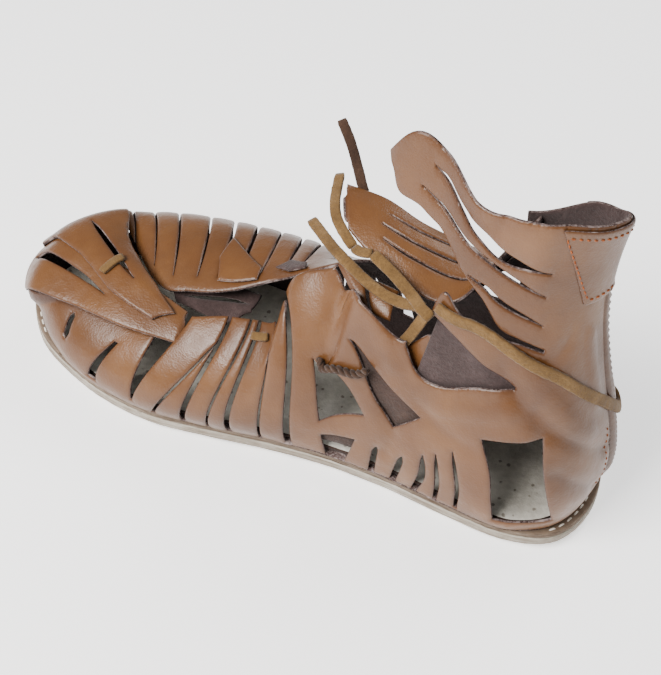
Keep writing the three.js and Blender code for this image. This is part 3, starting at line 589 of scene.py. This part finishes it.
def flap_surface(curves, relief):
    def plain(a, b):
        a, b = flat(a, b)
        b = b[:, None]
        near, middle, far = (catmull(points, a) for points in curves)
        return near * (1 - b) * (1 - 2 * b) + middle * 4 * b * (1 - b) + far * b * (2 * b - 1)

    def creased(a, b):
        a, b = flat(a, b)
        return plain(a, b) + normals_of(plain, a, b) * relief(a, b)[:, None]
    return creased


toe_flap_at = flap_surface(TOE_FLAP, lambda a, b: 0.35 * np.sin(a * 9 + 1) * np.cos(b * 7))
ankle_flap_at = flap_surface(ANKLE_FLAP, lambda a, b: 0.5 * np.sin(a * 11) * np.cos(b * 6 + 1))


# Meshes
def make_object(name, points, faces, materials, face_materials=None, attributes=None):
    mesh = bpy.data.meshes.new(name)
    mesh.from_pydata(to_frame(points).tolist(), [], [tuple(int(i) for i in f) for f in faces])
    for material in materials:
        mesh.materials.append(material)
    if face_materials is not None:
        mesh.polygons.foreach_set("material_index", np.asarray(face_materials, np.int32))
    mesh.polygons.foreach_set("use_smooth", np.ones(len(mesh.polygons), bool))
    for key, values in (attributes or {}).items():
        layer = mesh.attributes.new(key, "FLOAT", "POINT")
        layer.data.foreach_set("value", np.asarray(values, np.float32))
    mesh.validate()
    mesh.update()
    obj = bpy.data.objects.new(name, mesh)
    link(obj)
    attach(obj, "root")
    return obj


def band_faces(first, rings, around, flip=False):
    """Quads between rings of points that follow one another."""
    faces = []
    for k in range(rings - 1):
        for j in range(around):
            a, b = first + k * around + j, first + k * around + (j + 1) % around
            faces.append((a, b, b + around, a + around) if flip else (a, a + around, b + around, b))
    return faces


def cap_faces(centre, first, around, flip=False):
    """Triangles from a centre to a ring."""
    pairs = [(first + j, first + (j + 1) % around) for j in range(around)]
    return [(centre, b, a) if flip else (centre, a, b) for a, b in pairs]


def smooth_line(rows, steps):
    rows = np.asarray(rows, float)
    return catmull(rows, np.linspace(0, 1, (len(rows) - 1) * steps + 1)) if len(rows) > 2 else (
        rows[0] + (rows[1] - rows[0]) * np.linspace(0, 1, steps + 1)[:, None])


def opening_loop(rows):
    rows = np.asarray(rows, float)
    steps = 14 if len(rows) < 6 else 8
    a = smooth_line(rows[:, :2], steps)
    b = smooth_line(rows[:, 2:], steps)
    ends = [np.linspace(a[-1], b[-1], 8)[1:-1], np.linspace(b[0], a[0], 8)[1:-1]]
    return np.vstack([a, ends[0], b[::-1], ends[1]])


def scales_at(surface, u, v):
    steps = [np.linalg.norm(step, axis=1) for step in steps_of(surface, *flat(u, v))]
    return np.maximum(np.stack(steps, 1) / (2 * DELTA), 1)


def slit_loop(surface, rows):
    line = smooth_line(rows, 26 // (len(rows) - 1) + 4)
    share = np.linspace(0, 1, len(line))
    half = line[:, 2].copy()
    for end, from_end in ((0, share), (-1, 1 - share)):
        if 0.03 < line[end, 1] < 0.97:
            half *= np.clip(from_end / 0.16, 0.12, 1) ** 0.7
    scales = scales_at(surface, line[:, 0], line[:, 1])
    run = unit_rows(np.gradient(line[:, :2], axis=0) * scales)
    side = np.stack([-run[:, 1], run[:, 0]], 1) * half[:, None] / scales
    return np.vstack([line[:, :2] + side, (line[:, :2] - side)[::-1]])


def inside(loop, places):
    near = ((places >= loop.min(0)) & (places <= loop.max(0))).all(1)
    x, y = places[near].T
    odd = np.zeros(len(x), bool)
    for (xa, ya), (xb, yb) in zip(loop, np.roll(loop, -1, axis=0)):
        if ya != yb:
            odd ^= ((ya > y) != (yb > y)) & (x < (xb - xa) * (y - ya) / (yb - ya) + xa)
    result = np.zeros(len(places), bool)
    result[near] = odd
    return result


def densify(loop, step):
    parts = []
    for a, b in zip(loop, np.roll(loop, -1, axis=0)):
        count = max(1, int(np.ceil(np.linalg.norm(b - a) / step)))
        parts.append(a + (b - a) * (np.arange(count) / count)[:, None])
    return np.vstack(parts)


def sheet_mesh(surface, border, openings, unit, spacing, seam=False, extra_u=()):
    """Triangles of a sheet with openings, in the two numbers of its surface.
    unit is millimetres per unit of each number."""
    unit = np.array(unit, float)
    border = densify(np.array(border, float) * unit, 1.4)
    loops = [densify(np.asarray(loop, float) * unit, 1.2) for loop in openings]
    points, edges = [], []
    for loop in [border] + loops:
        first, count = len(points), len(loop)
        points.extend(loop.tolist())
        edges.extend((first + k, first + (k + 1) % count) for k in range(count))
    for loop, outward in [(border, -1)] + [(loop, 1) for loop in loops]:
        run = unit_rows(np.roll(loop, -1, axis=0) - np.roll(loop, 1, axis=0))
        area = np.sum(loop[:, 0] * np.roll(loop[:, 1], -1) - np.roll(loop[:, 0], -1) * loop[:, 1])
        normal = np.stack([run[:, 1], -run[:, 0]], 1) * (1 if area > 0 else -1) * outward
        stretch = unit / scales_at(surface, loop[:, 0] / unit[0], loop[:, 1] / unit[1])
        for reach in EDGE_RINGS:
            points.extend((loop + normal * stretch * reach).tolist())
    low, high = border.min(0), border.max(0)
    us = np.unique(np.concatenate([np.arange(low[0] + spacing / 2, high[0], spacing),
                                   np.asarray(extra_u, float)]))
    vs = np.arange(low[1] + spacing / 2, high[1], spacing)
    for k, u in enumerate(us):
        shift = (k % 2) * spacing * 0.5
        points.extend((u, v + shift) for v in vs if v + shift < high[1] - 0.4)
    kept = delaunay_2d_cdt([Vector(p) for p in points], edges, [], 0, 1e-5)
    places = np.array([tuple(v) for v in kept[0]])
    faces = np.array([f for f in kept[2] if len(f) == 3])
    middles = places[faces].mean(1)
    a, b, c = (places[faces[:, k]] for k in range(3))
    turn = (b - a)[:, 0] * (c - a)[:, 1] - (b - a)[:, 1] * (c - a)[:, 0]
    good = inside(border, middles) & (np.abs(turn) > 1e-7)
    for loop in loops:
        good &= ~inside(loop, middles)
    faces, turn = faces[good], turn[good]
    faces[turn < 0] = faces[turn < 0][:, ::-1]
    if seam:
        left, right_side = (np.where(np.abs(places[:, 0] - end) < 1e-4)[0] for end in (low[0], high[0]))
        join = np.arange(len(places))
        for k in right_side:
            match = left[np.argmin(np.abs(places[left, 1] - places[k, 1]))]
            if abs(places[match, 1] - places[k, 1]) < 1e-3:
                join[k] = match
        faces = join[faces]
    used, faces = np.unique(faces, return_inverse=True)
    return places[used] / unit, faces.reshape(-1, 3)


def boundary_of(faces):
    """Directed edges that only one face uses."""
    edges = np.vstack([faces[:, [0, 1]], faces[:, [1, 2]], faces[:, [2, 0]]])
    _, index, count = np.unique(np.sort(edges, axis=1), axis=0, return_index=True, return_counts=True)
    return edges[index[count == 1]]


def leather_sheet(name, surface, places, faces, low=0.0, thickness=LEATHER, fold=None, bright=None,
                  materials=(GRAIN, FLESH, EDGE), crown=0.25):
    """A closed sheet of leather: grain side out, flesh side in, rounded raw edges."""
    middle = surface(*places.T)
    normal = normals_of(surface, *places.T)
    rim = boundary_of(faces)
    ends_a, ends_b = middle[rim[:, 0]], middle[rim[:, 1]]
    samples = np.vstack([ends_a, (2 * ends_a + ends_b) / 3, (ends_a + 2 * ends_b) / 3])
    tree = KDTree(len(samples))
    for k, point in enumerate(samples):
        tree.insert(point, k)
    tree.balance()
    away = np.array([tree.find(point)[2] for point in middle])
    rim_points = np.unique(rim)
    away[rim_points] = 0
    drop = EDGE_DROP * np.clip(1 - away / EDGE_REACH, 0, 1) ** 2
    swell = crown * (1 - np.exp(-away / SWELL_REACH))
    outer = middle + normal * (low + thickness - drop + swell)[:, None]
    inner = middle + normal * (low + drop + swell)[:, None]
    count = len(places)
    outward = np.zeros((count, 3))
    for a, b in rim:
        side = np.cross(middle[b] - middle[a], normal[a])
        outward[a] += side
        outward[b] += side
    fray = 0.1 + 0.06 * np.random.default_rng(7).standard_normal(len(rim_points))
    belt = (outer[rim_points] + inner[rim_points]) / 2 + unit_rows(outward[rim_points]) * fray[:, None]
    owner = {index: 2 * count + k for k, index in enumerate(rim_points)}
    quads = []
    for a, b in rim:
        quads += [(b, a, owner[a], owner[b]), (owner[b], owner[a], a + count, b + count)]
    slots = [0] * len(faces) + [1] * len(faces) + [2] * len(quads)
    # Masks of painted shade and painted highlight, stored on the points for the grain colour
    folded, painted_highlight_values = (spread(places) if spread else np.zeros(count) for spread in (fold, bright))
    obj = make_object(name, np.vstack([outer, inner, belt]), [*faces, *(faces[:, ::-1] + count), *quads],
                      materials, slots, {
        key: np.concatenate([values, values, np.full(len(rim_points), on_belt)])
        for key, values, on_belt in (("edge", np.exp(-away / 0.7), 1.0), ("fold", folded, 0.0),
                                     ("bright", painted_highlight_values, 0.0))})
    ends = np.zeros(len(obj.data.edges) * 2, np.int32)
    obj.data.edges.foreach_get("vertices", ends)
    corners = {tuple(pair) for pair in np.sort(np.vstack([rim, rim + count]), axis=1).tolist()}
    flags = [tuple(pair) in corners for pair in np.sort(ends.reshape(-1, 2), axis=1).tolist()]
    obj.data.attributes.new("sharp_edge", "BOOLEAN", "EDGE").data.foreach_set("value", flags)
    return obj


def leather_piece(name, domain, border, slits, unit, spacing, surface=None, openings=(), seam=False,
                  extra_u=(), **look):
    """A sheet of leather with slits, laid out on domain and lifted to surface."""
    loops = [*openings, *(slit_loop(domain, rows) for rows in slits)]
    places, faces = sheet_mesh(domain, border, loops, unit, spacing, seam, extra_u)
    return leather_sheet(name, surface or domain, places, faces, **look)


def sweep(name, path, up, width, thickness, material, sides=14, fray=0.03):
    """A flat thong along a path, with rounded edges and closed ends."""
    run = unit_rows(np.gradient(path, axis=0))
    across = unit_rows(np.cross(up, run))
    lift = np.cross(run, across)
    angle = 2 * np.pi * np.arange(sides) / sides
    flat_x, flat_y = (np.sign(wave) * np.abs(wave) ** 0.5 * size / 2
                      for wave, size in ((np.cos(angle), width), (np.sin(angle), thickness)))
    seed = np.random.default_rng(11)
    length = lengths_of(path)
    rows = []
    for k, centre in enumerate(path):
        scale = min(1.0, 0.86 + min(length[k], length[-1] - length[k]) * 0.2)
        wobble = 1 + fray * seed.standard_normal(sides)
        rows.append(centre + np.outer(flat_x * scale * wobble, across[k])
                    + np.outer(flat_y * scale * wobble, lift[k]))
    count = len(path) * sides
    faces = (band_faces(0, len(path), sides, True) + cap_faces(count, 0, sides, True)
             + cap_faces(count + 1, count - sides, sides))
    edge = np.tile(np.abs(np.cos(angle)) ** 6, len(path))
    return make_object(name, np.vstack(rows + [path[:1], path[-1:]]), faces, [material], None,
                       {"edge": np.concatenate([edge, [0, 0]])})


def resample(points, step):
    fine = catmull(points, np.linspace(0, 1, 40 * len(points)))
    length = lengths_of(fine)
    places = np.linspace(0, length[-1], max(8, int(round(length[-1] / step))))
    return np.stack([np.interp(places, length, fine[:, k]) for k in range(3)], 1), length[-1]


# Cords: the free runs of thong over the instep
CORD_FACTS = {
    "lace_front": (5.0, 2.0, TAN, "object", (0.0, -0.35, 0.94)),
    "lace_over": (5.0, 2.0, TAN, "object", (0.1, -0.55, 0.83)),
    "lace_branch": (5.0, 2.0, TAN, "object", (-0.1, -0.95, 0.3)),
    "lace_flap": (4.6, 2.0, TAN, "object", (-0.3, 0.0, 0.95)),
    "lace_end": (4.4, 2.2, DARK, "bare", (0.2, -0.6, 0.77)),
}
for lace, (width, thickness, material, far_end, facing) in CORD_FACTS.items():
    path, length = resample(LACES[lace], 1.5)
    cord = sweep(lace + "_thong", path, np.tile(facing, (len(path), 1)), width, thickness, material)
    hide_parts(lace)


# Upper
def spots(places, rows):
    """Soft spots of painted shade and painted highlight on the wall: middle r and t, half sizes in mm along
    r and t, strength.
    """
    r, t = places.T
    height = np.interp(r, FORM[:, 0], FORM[:, 3])
    return sum(strength * np.exp(-((r - middle_r) * RISE / half_r) ** 2
                                 - ((t - middle_t) * height / half_t) ** 2)
               for middle_r, middle_t, half_r, half_t, strength in rows)


# Painted shade on the wall: dark bands along the heel seam, the SHADES spots, and shade painted into the
# deeper creases
def wall_fold(places):
    r, t = places.T
    return np.clip(seam_bands(r, t, SEAM_SHADES) + spots(places, SHADES)
                   + 0.25 * np.clip(-wall_relief(r, t) - 0.4, 0, 1), 0, 1)


# Painted shade: spots where the wall's colour is darkened in place of shadow
SHADES = [
    (-0.305, 0.95, 9, 12, 0.4), (-0.27, 0.86, 16, 6, 0.3), (-0.19, 0.80, 14, 12, 0.18),
    (-0.02, 0.60, 5, 25, 0.3), (-0.06, 0.44, 10, 9, 0.3), (-0.10, 0.26, 9, 14, 0.28),
    (-0.16, 0.56, 12, 5, 0.2), (-0.30, 0.44, 10, 6, 0.2), (-0.40, 0.52, 7, 8, 0.22),
    (-0.88, 0.5, 22, 20, 0.2), (-0.66, 0.15, 10, 8, 0.2), (-0.55, 0.12, 30, 6, 0.22),
    (-0.50, 1.0, 9, 8, 0.2), (0.6, 0.95, 70, 6, 0.25), (0.6, 0.3, 70, 10, 0.2),
    (-0.95, 0.92, 12, 8, 0.6), (-0.90, 0.88, 14, 9, 0.75), (-0.84, 0.86, 12, 9, 0.75),
    (-0.785, 0.9, 9, 9, 0.6),
]
# Painted highlights: spots where the wall's colour is lightened in place of highlights
LIGHTS = [
    (-0.21, 0.93, 12, 9, 0.55), (-0.49, 0.82, 7, 16, 0.4), (-0.43, 0.70, 9, 10, 0.3),
    (-0.6, 0.55, 16, 9, 0.5), (-0.53, 0.5, 10, 14, 0.45), (-0.22, 0.3, 14, 12, 0.25),
    (-0.05, 0.34, 6, 8, 0.35), (-0.36, 0.86, 10, 12, 0.2), (-0.76, 0.55, 9, 8, 0.35),
]

# The upper carries painted shade and painted highlights in its grain colour
upper = leather_piece("upper_leather", plain_wall, [(-1, 0), (1, 0), (1, 1), (-1, 1)], SLITS, WALL_UNIT,
                      2.3, wall, [opening_loop(rows) for rows in OPENINGS.values()], seam=True,
                      extra_u=np.arange(-3.2, 8.9, 0.8), fold=wall_fold, crown=0.45,
                      bright=lambda at: np.clip(spots(at, LIGHTS), 0, 1))
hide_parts("upper")


def toe_strap_at(a, b):
    """The second strap over the toes, which lies on the first one and comes down beyond it."""
    a, b = flat(a, b)
    lift = 2.35 * np.clip((0.98 - b) / 0.36, 0, 1) ** 0.7
    return toe_flap_at(a, b) + normals_of(toe_flap_at, a, b) * lift[:, None]


leather_piece("toe_flap_leather", toe_flap_at, [(0, 0), (1, 0), (1, 0.95), (0.8, 0.75), (0.6, 0.62),
                                                (0.3, 0.58), (0, 0.58)], TOE_SLITS, TOE_UNIT, 2.0)
leather_piece("toe_strap_leather", toe_strap_at, [
    (0, 0.44), (0.2, 0.46), (0.42, 0.40), (0.64, 0.27), (0.88, 0.22), (0.955, 0.60), (0.82, 0.84),
    (0.6, 0.98), (0.3, 1), (0, 1)], TOE_STRAP_SLITS, TOE_UNIT, 2.0)
leather_piece("ankle_flap_leather", ankle_flap_at, [(0, 0), (1, 0), (1, 1), (0, 1)], FLAP_SLITS, ANKLE_UNIT,
              2.0, materials=(FLESH, GRAIN, EDGE))
# Backing under the ankle flap: its darker inner face paints the shade seen through the slits
leather_piece("ankle_flap_backing", ankle_flap_at, [(0.06, 0.14), (0.84, 0.14), (0.84, 0.88), (0.06, 0.88)],
              [], ANKLE_UNIT, 3.0, low=ON_LEATHER, thickness=1.4, materials=(FLESH, FLESH_DARK, EDGE))

# Ends of straps inside the throat, each a surface through three lines
THROAT_FOLD = (
    [(-66, -9.5, 47), (-43, -11, 48), (-33, -7, 49)],
    [(-70, -6.5, 50.5), (-50, -2, 51), (-31, 1, 52)],
    [(-74, -4, 54), (-53.1, 5.3, 54), (-30, 8.5, 55.5)],
)
FOLD_SLITS = [[(0.12, 0.42, 0.5), (0.5, 0.5, 1.1), (0.9, 0.55, 0.6)]]
THROAT_STRAPS = (
    [(29, -17, 98), (37.5, -20, 98), (45, -20.5, 98)],
    [(22.5, -12.5, 101.5), (33, -15.6, 101.5), (44, -17, 101.5)],
    [(14, -5.5, 104), (28.6, -8, 104), (43, -10, 104)],
)
fold_at = flap_surface(THROAT_FOLD, lambda a, b: 0.5 * np.sin(a * 8) * np.cos(b * 5))
throat_at = flap_surface(THROAT_STRAPS, lambda a, b: 0.3 * np.sin(a * 7 + 2) + 0 * b)
leather_piece("throat_fold", fold_at, [(0, 0.1), (0.3, 0), (0.85, 0), (1, 0.3), (1, 0.9), (0.5, 1),
                                       (0, 0.95)], FOLD_SLITS, (45, 15), 1.8, thickness=1.8,
              materials=(FLESH, FLESH, EDGE))
for name, border in (("throat_strap_front", [(0, 0), (0.34, 0), (0.42, 1), (0, 1)]),
                     ("throat_strap_rear", [(0.44, 0), (0.98, 0), (1, 1), (0.52, 1)])):
    leather_piece(name, throat_at, border, [], (34, 24), 1.8, thickness=1.8)

# Strap ends on the wall, and straps behind its openings, two of them in darker flesh as painted shade:
# name, border, mesh spacing, the height of the inner face above the wall, thickness, and the materials
# of the outer and inner face
for name, border, spacing, low, thickness, outer, inner in (
        ("strap_end", [(0.708, 0.834), (0.694, 0.704), (0.66, 0.80), (0.627, 0.91), (0.624, 0.985),
                       (0.694, 0.955)], 2.0, ON_LEATHER, 1.6, GRAIN, FLESH),
        ("folded_tab", [(0.604, 0.93), (0.575, 0.89), (0.538, 0.93), (0.532, 0.985), (0.565, 0.98)],
         2.0, ON_LEATHER, 1.6, FLESH, GRAIN),
        ("lens_backing", [(-0.312, 0.45), (-0.15, 0.47), (-0.15, 0.62), (-0.22, 0.67), (-0.3, 0.70)],
         2.2, -2.6, LEATHER, FLESH, FLESH),
        ("notch_backing", [(-0.345, 0.42), (-0.29, 0.42), (-0.285, 0.60), (-0.312, 0.575), (-0.338, 0.50)],
         2.2, -4.9, LEATHER, GRAIN, GRAIN),
        # Behind the slot and the waist window: leather in the darker flesh, with its shade painted in
        ("slot_backing", [(-0.415, 0.52), (-0.39, 0.33), (-0.34, 0.22), (-0.275, 0.26), (-0.285, 0.38),
                          (-0.36, 0.46), (-0.4, 0.54)], 2.2, -2.6, LEATHER, FLESH_DARK, FLESH_DARK),
        ("waist_backing", [(-0.44, 0.07), (-0.36, 0.07), (-0.365, 0.18), (-0.435, 0.18)],
         2.2, -2.6, LEATHER, FLESH_DARK, FLESH_DARK)):
    leather_piece(name, plain_wall, border, [], WALL_UNIT, spacing, wall, low=low, thickness=thickness,
                  materials=(outer, inner, EDGE))


# Sole
def sole_layer(node, profile, materials, rough, inset_at=None):
    """A layer of the sole through rings of (inset, height), with its side in the second material."""
    steps = 150
    seed = np.random.default_rng(3)
    rings = []
    for inset, height in profile:
        sides = []
        for side in (-1, 1):
            point, normal = outline_at(side, np.linspace(0, 1, steps + 1))
            extra = inset_at(point[:, 0]) if inset_at else 0
            wobble = rough * seed.standard_normal(steps + 1)
            wobble[[0, -1]] = 0
            place = point - normal * (inset + extra + wobble)[:, None]
            place[:, 2] = height + spring_at(place[:, 0])
            sides.append(place)
        rings.append(np.vstack([sides[0], sides[1][-2:0:-1]]))
    around = len(rings[0])
    faces = band_faces(0, len(rings), around)
    for base, flip in (((len(rings) - 1) * around, True), (0, False)):
        for j in range(steps):
            a, b, c, d = (base + k % around for k in (j, j + 1, -j, -j - 1))
            face = tuple(dict.fromkeys((a, b, d, c)))
            faces.append(face[::-1] if flip else face)
    layer = make_object(node + "_shell", np.vstack(rings), faces, materials)
    for polygon in layer.data.polygons:
        polygon.material_index = int(abs(polygon.normal.z) < SIDE_SLOPE)
    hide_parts(node)


sole_layer("outsole", [(1.6, 3.0), (1.0, 3.15), (0.4, 3.7), (0.0, 4.4), (0.0, 5.6), (0.05, 6.8), (0.3, 7.4),
                       (0.9, 7.8)], [OUTSOLE, OUTSOLE_SIDE], 0.05)
sole_layer("midsole", [(1.0, 8.1), (0.55, 8.3), (0.35, 9.0), (0.3, 9.9), (0.45, 10.6), (0.8, 10.95),
                       (1.5, 11.0)], [RIM_TOP, MIDSOLE], 0.09)
sole_layer("insole", [(1.3, 13.6), (0.8, 13.9), (0.8, 15.5), (1.1, 15.9), (1.6, 16.0)],
           [INSOLE, FLESH_DARK], 0.04, rim_at)


# Turned-in margin of the upper
def margin_ring():
    columns, spread = 420, [1.7, 1.2, -3.0, -10.0]
    place, normal = foot_at(-1 + 2 * np.arange(columns) / columns)
    rings = []
    for height, reaches, tuck in ((0.0, spread, 0.45), (LEATHER, spread[::-1], -0.45)):
        for reach in reaches:
            ring = place + normal * reach
            ring[:, 2] = MARGIN_BOTTOM + spring_at(ring[:, 0]) + height
            if reach == spread[0]:
                ring[:, 2] += tuck
            rings.append(ring)
    points = np.vstack(rings)
    faces = [[k % len(points) for k in face] for face in band_faces(0, len(rings) + 1, columns)]
    make_object("upper_margin", points, faces, [EDGE])


margin_ring()


# Hobnails
def hobnails():
    profile = [(1.2, 0.0), (2.4, 0.06), (3.6, 0.32), (4.7, 0.8), (5.5, 1.3), (5.9, 1.75), (6.0, 2.2),
               (5.8, 2.6), (5.2, 2.7)]
    sides, count = 24, 24 * len(profile)
    angle = 2 * np.pi * np.arange(sides) / sides
    head = np.array([(radius * math.cos(a), radius * math.sin(a), height)
                     for radius, height in profile for a in angle] + [(0, 0, 0.05), (0, 0, 2.7)])
    head_faces = (band_faces(0, len(profile), sides) + cap_faces(count, 0, sides)
                  + cap_faces(count + 1, count - sides, sides, True))
    points, faces = [], []
    for along, inner in NAILS:
        x = HEEL_X - along
        lean = math.atan2(float(spring_at(x - 1) - spring_at(x + 1)), 2)
        turn = np.array([[math.cos(lean), 0, math.sin(lean)], [0, 1, 0],
                         [-math.sin(lean), 0, math.cos(lean)]])
        faces += [[k + len(points) * len(head) for k in face] for face in head_faces]
        points.append(head @ turn.T + (x, -inner, float(spring_at(x))))
    obj = make_object("hobnails", np.vstack(points), faces, [IRON])
    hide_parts(*[f"hobnail_{k + 1:02d}" for k in range(len(NAILS))])


hobnails()

# Heel patch
PATCH = [(-0.153, 0.996), (-0.13, 0.93), (-0.105, 0.86), (-0.084, 0.806), (-0.04, 0.812), (0, 0.815),
         (0.04, 0.821), (0.07, 0.83), (0.09, 0.87), (0.12, 0.94), (0.15, 0.996)]
PATCH_THICKNESS = 1.4
heel_patch = leather_piece("heel_patch_leather", plain_wall, PATCH, [], PATCH_UNIT, 1.6, wall,
                           low=LEATHER + CLEARANCE, thickness=PATCH_THICKNESS, crown=0.1)
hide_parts("heel_patch")


# Thongs held on the leather
def on_surface(surface, line, step, offset):
    """Points every step millimetres along a line on a surface, with its normals."""
    fine = catmull(line, np.linspace(0, 1, 60 * (len(line) - 1) + 1))
    length = lengths_of(surface(fine[:, 0], fine[:, 1]))
    places = np.linspace(0, length[-1], max(6, int(round(length[-1] / step)) + 1))
    u, v = (np.interp(places, length, fine[:, k]) for k in (0, 1))
    normal = normals_of(surface, u, v)
    return surface(u, v) + normal * offset, normal


THONG_MIDDLE = 3.5
THONG_THICKNESS = 1.9
for node, surface, line, width in (
        ("heel_thong", plain_wall, HEEL_THONG, 5.4),
        ("toe_thong", toe_strap_at, [(0.59, 0.36), (0.61, 0.5), (0.63, 0.7)], 4.2),
        ("strap_thong", plain_wall, [(-0.594, 0.86), (-0.575, 0.868), (-0.556, 0.86)], 4.0)):
    path, normal = on_surface(surface, line, 1.2, THONG_MIDDLE)
    thong = sweep(node + "_suede", path, normal, width, THONG_THICKNESS, TAN)
    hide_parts(node)

path, _ = resample([(21.7, -10.5, 120.7), (25, -12, 121.3), (28, -12.4, 122), (30.4, -12.2, 122.7)], 1.0)
bend = sweep("thong_bend", path, np.tile((-0.15, -0.25, 0.95), (len(path), 1)), 4.6, 1.8, TAN)


def twisted_cord():
    """Two strands of 2.1 mm that turn round each other once in 6.5 mm."""
    line = [(-0.456, 0.56), (-0.438, 0.48), (-0.415, 0.42), (-0.39, 0.39), (-0.372, 0.41)]
    step, pitch, apart, size = 0.6, 6.5, 0.78, 2.1
    path, normal = on_surface(plain_wall, line, step, LEATHER + CLEARANCE + 1.5)
    across = np.cross(normal, unit_rows(np.gradient(path, axis=0)))
    turns = np.arange(len(path)) * step * 2 * np.pi / pitch
    first, second = (sweep("flap_cord_strand", path + apart * (
        across * np.cos(turns + start)[:, None] + normal * np.sin(turns + start)[:, None]),
        normal, size, size, DARK, sides=10, fray=0.04) for start in (0, np.pi))
    with bpy.context.temp_override(active_object=first, selected_editable_objects=[first, second]):
        bpy.ops.object.join()
    first.name = "flap_cord"
    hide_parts("flap_thong")


twisted_cord()


# Stitches
def stitches(name, material, rows):
    """Short threads, each from its start to its end over the surface, given with the outward way."""
    sides, rings = 7, 7
    points, faces = [], []
    for start, end, normal, radius, rise in rows:
        start, end, normal = (np.asarray(v, float) for v in (start, end, normal))
        length = np.linalg.norm(end - start)
        run = (end - start) / length
        side = np.cross(normal, run)
        side /= np.linalg.norm(side)
        first = len(points)
        for k in range(rings):
            share = k / (rings - 1)
            arch = math.sin(math.pi * share)
            centre = start + run * length * share + normal * (rise * arch - radius * 0.8 * (1 - arch))
            thick = radius * (0.45 + 0.55 * arch ** 0.5)
            for j in range(sides):
                a = 2 * math.pi * j / sides
                points.append(centre + side * thick * math.cos(a) + normal * thick * math.sin(a))
        faces += band_faces(first, rings, sides)
        faces.append(range(first, first + sides))
        faces.append(range(len(points) - 1, len(points) - 1 - sides, -1))
    make_object(name, points, faces, [material])


def stitch_ends(path, begin, spare, spacing, reach):
    """Where each stitch along a path begins and ends, by its points."""
    length = lengths_of(path)
    for place in np.arange(begin, length[-1] - spare, spacing):
        a, b = np.searchsorted(length, [place, place + reach])
        if b < len(path):
            yield a, b


def rim_stitches():
    narrow, rows = 4.4, []
    for side in (-1, 1):
        point, normal = outline_at(side, np.linspace(0, 1, 4001))
        rim = rim_at(point[:, 0])
        inset = np.clip((rim - 1.7) * 0.5 + 0.4, 1.4, 3.4)
        place = point - normal * inset[:, None]
        place[:, 2] = 11.05 + spring_at(place[:, 0])
        rows += [(place[a], place[b], (0, 0, 1), 0.5, 0.25)
                 for a, b in stitch_ends(place, 1.2, 4, 5.0, 3.6) if min(rim[a], rim[b]) >= narrow]
    stitches("rim_stitches", WHITE_THREAD, rows)


def seam_stitches():
    on_patch = LEATHER + CLEARANCE + PATCH_THICKNESS + 0.1
    on_wall = LEATHER + CLEARANCE
    seams = [(line, on_patch, 3.1, 2.1) for line in (
        [(-0.145, 0.978), (-0.1, 0.862), (-0.08, 0.823)],
        [(-0.078, 0.823), (-0.04, 0.827), (0, 0.83), (0.04, 0.836), (0.062, 0.842)],
        [(0.066, 0.846), (0.1, 0.915), (0.135, 0.978)],
        [(-0.141, 0.98), (-0.07, 0.979), (0, 0.979), (0.07, 0.979), (0.133, 0.98)])]
    seams += [([(x, 0.1), (x * 1.1, 0.25), (x, 0.4)], on_wall, 3.6, 2.3) for x in (-0.012, 0.012)]
    rows = []
    for line, lift, spacing, reach in seams:
        points, normal = on_surface(wall, line, 0.25, lift)
        rows += [(points[a], points[b], normal[(a + b) // 2], 0.38, 0.2)
                 for a, b in stitch_ends(points, 0.3, 2.0, spacing, reach)]
    stitches("seam_stitches", BROWN_THREAD, rows)


rim_stitches()
seam_stitches()

# Floor and studio light
floor_mesh = bpy.data.meshes.new("floor")
floor_mesh.from_pydata([(-4, -4, 0), (4, -4, 0), (4, 4, 0), (-4, 4, 0)], [], [(0, 1, 2, 3)])
floor = bpy.data.objects.new("floor", floor_mesh)
link(floor)
paper = Look("floor_paper")
floor_mesh.materials.append(paper.finish(
    paper.ramp(paper.noise(3, 3, 0.5), [(0.3, (0.93, 0.93, 0.93)), (0.7, (0.95, 0.95, 0.95))]),
    Roughness=0.85, Emission_Color=(1, 1, 1), Emission_Strength=0.9))

world = bpy.data.worlds.new("studio")
bpy.context.scene.world = world
world.use_nodes = True
world.node_tree.nodes["Background"].inputs["Color"].default_value = (1.0, 0.99, 0.975, 1)
world.node_tree.nodes["Background"].inputs["Strength"].default_value = 0.46


def area_light(name, place, target, size, power, color):
    data = bpy.data.lights.new(name, "AREA")
    data.shape = "RECTANGLE"
    data.size, data.size_y = size
    data.energy = power
    data.color = color
    light = bpy.data.objects.new(name, data)
    light.location = place
    light.rotation_euler = (Vector(target) - Vector(place)).to_track_quat("-Z", "Y").to_euler()
    link(light)


area_light("key", (-0.5, -0.9, 1.1), (0, 0, 0.05), (0.9, 0.6), 49, (1.0, 0.97, 0.95))
area_light("rim", (0.5, 0.9, 1.1), (0, 0, 0.08), (1.0, 0.5), 10, (0.95, 0.97, 1.0))

bpy.context.view_layer.update()
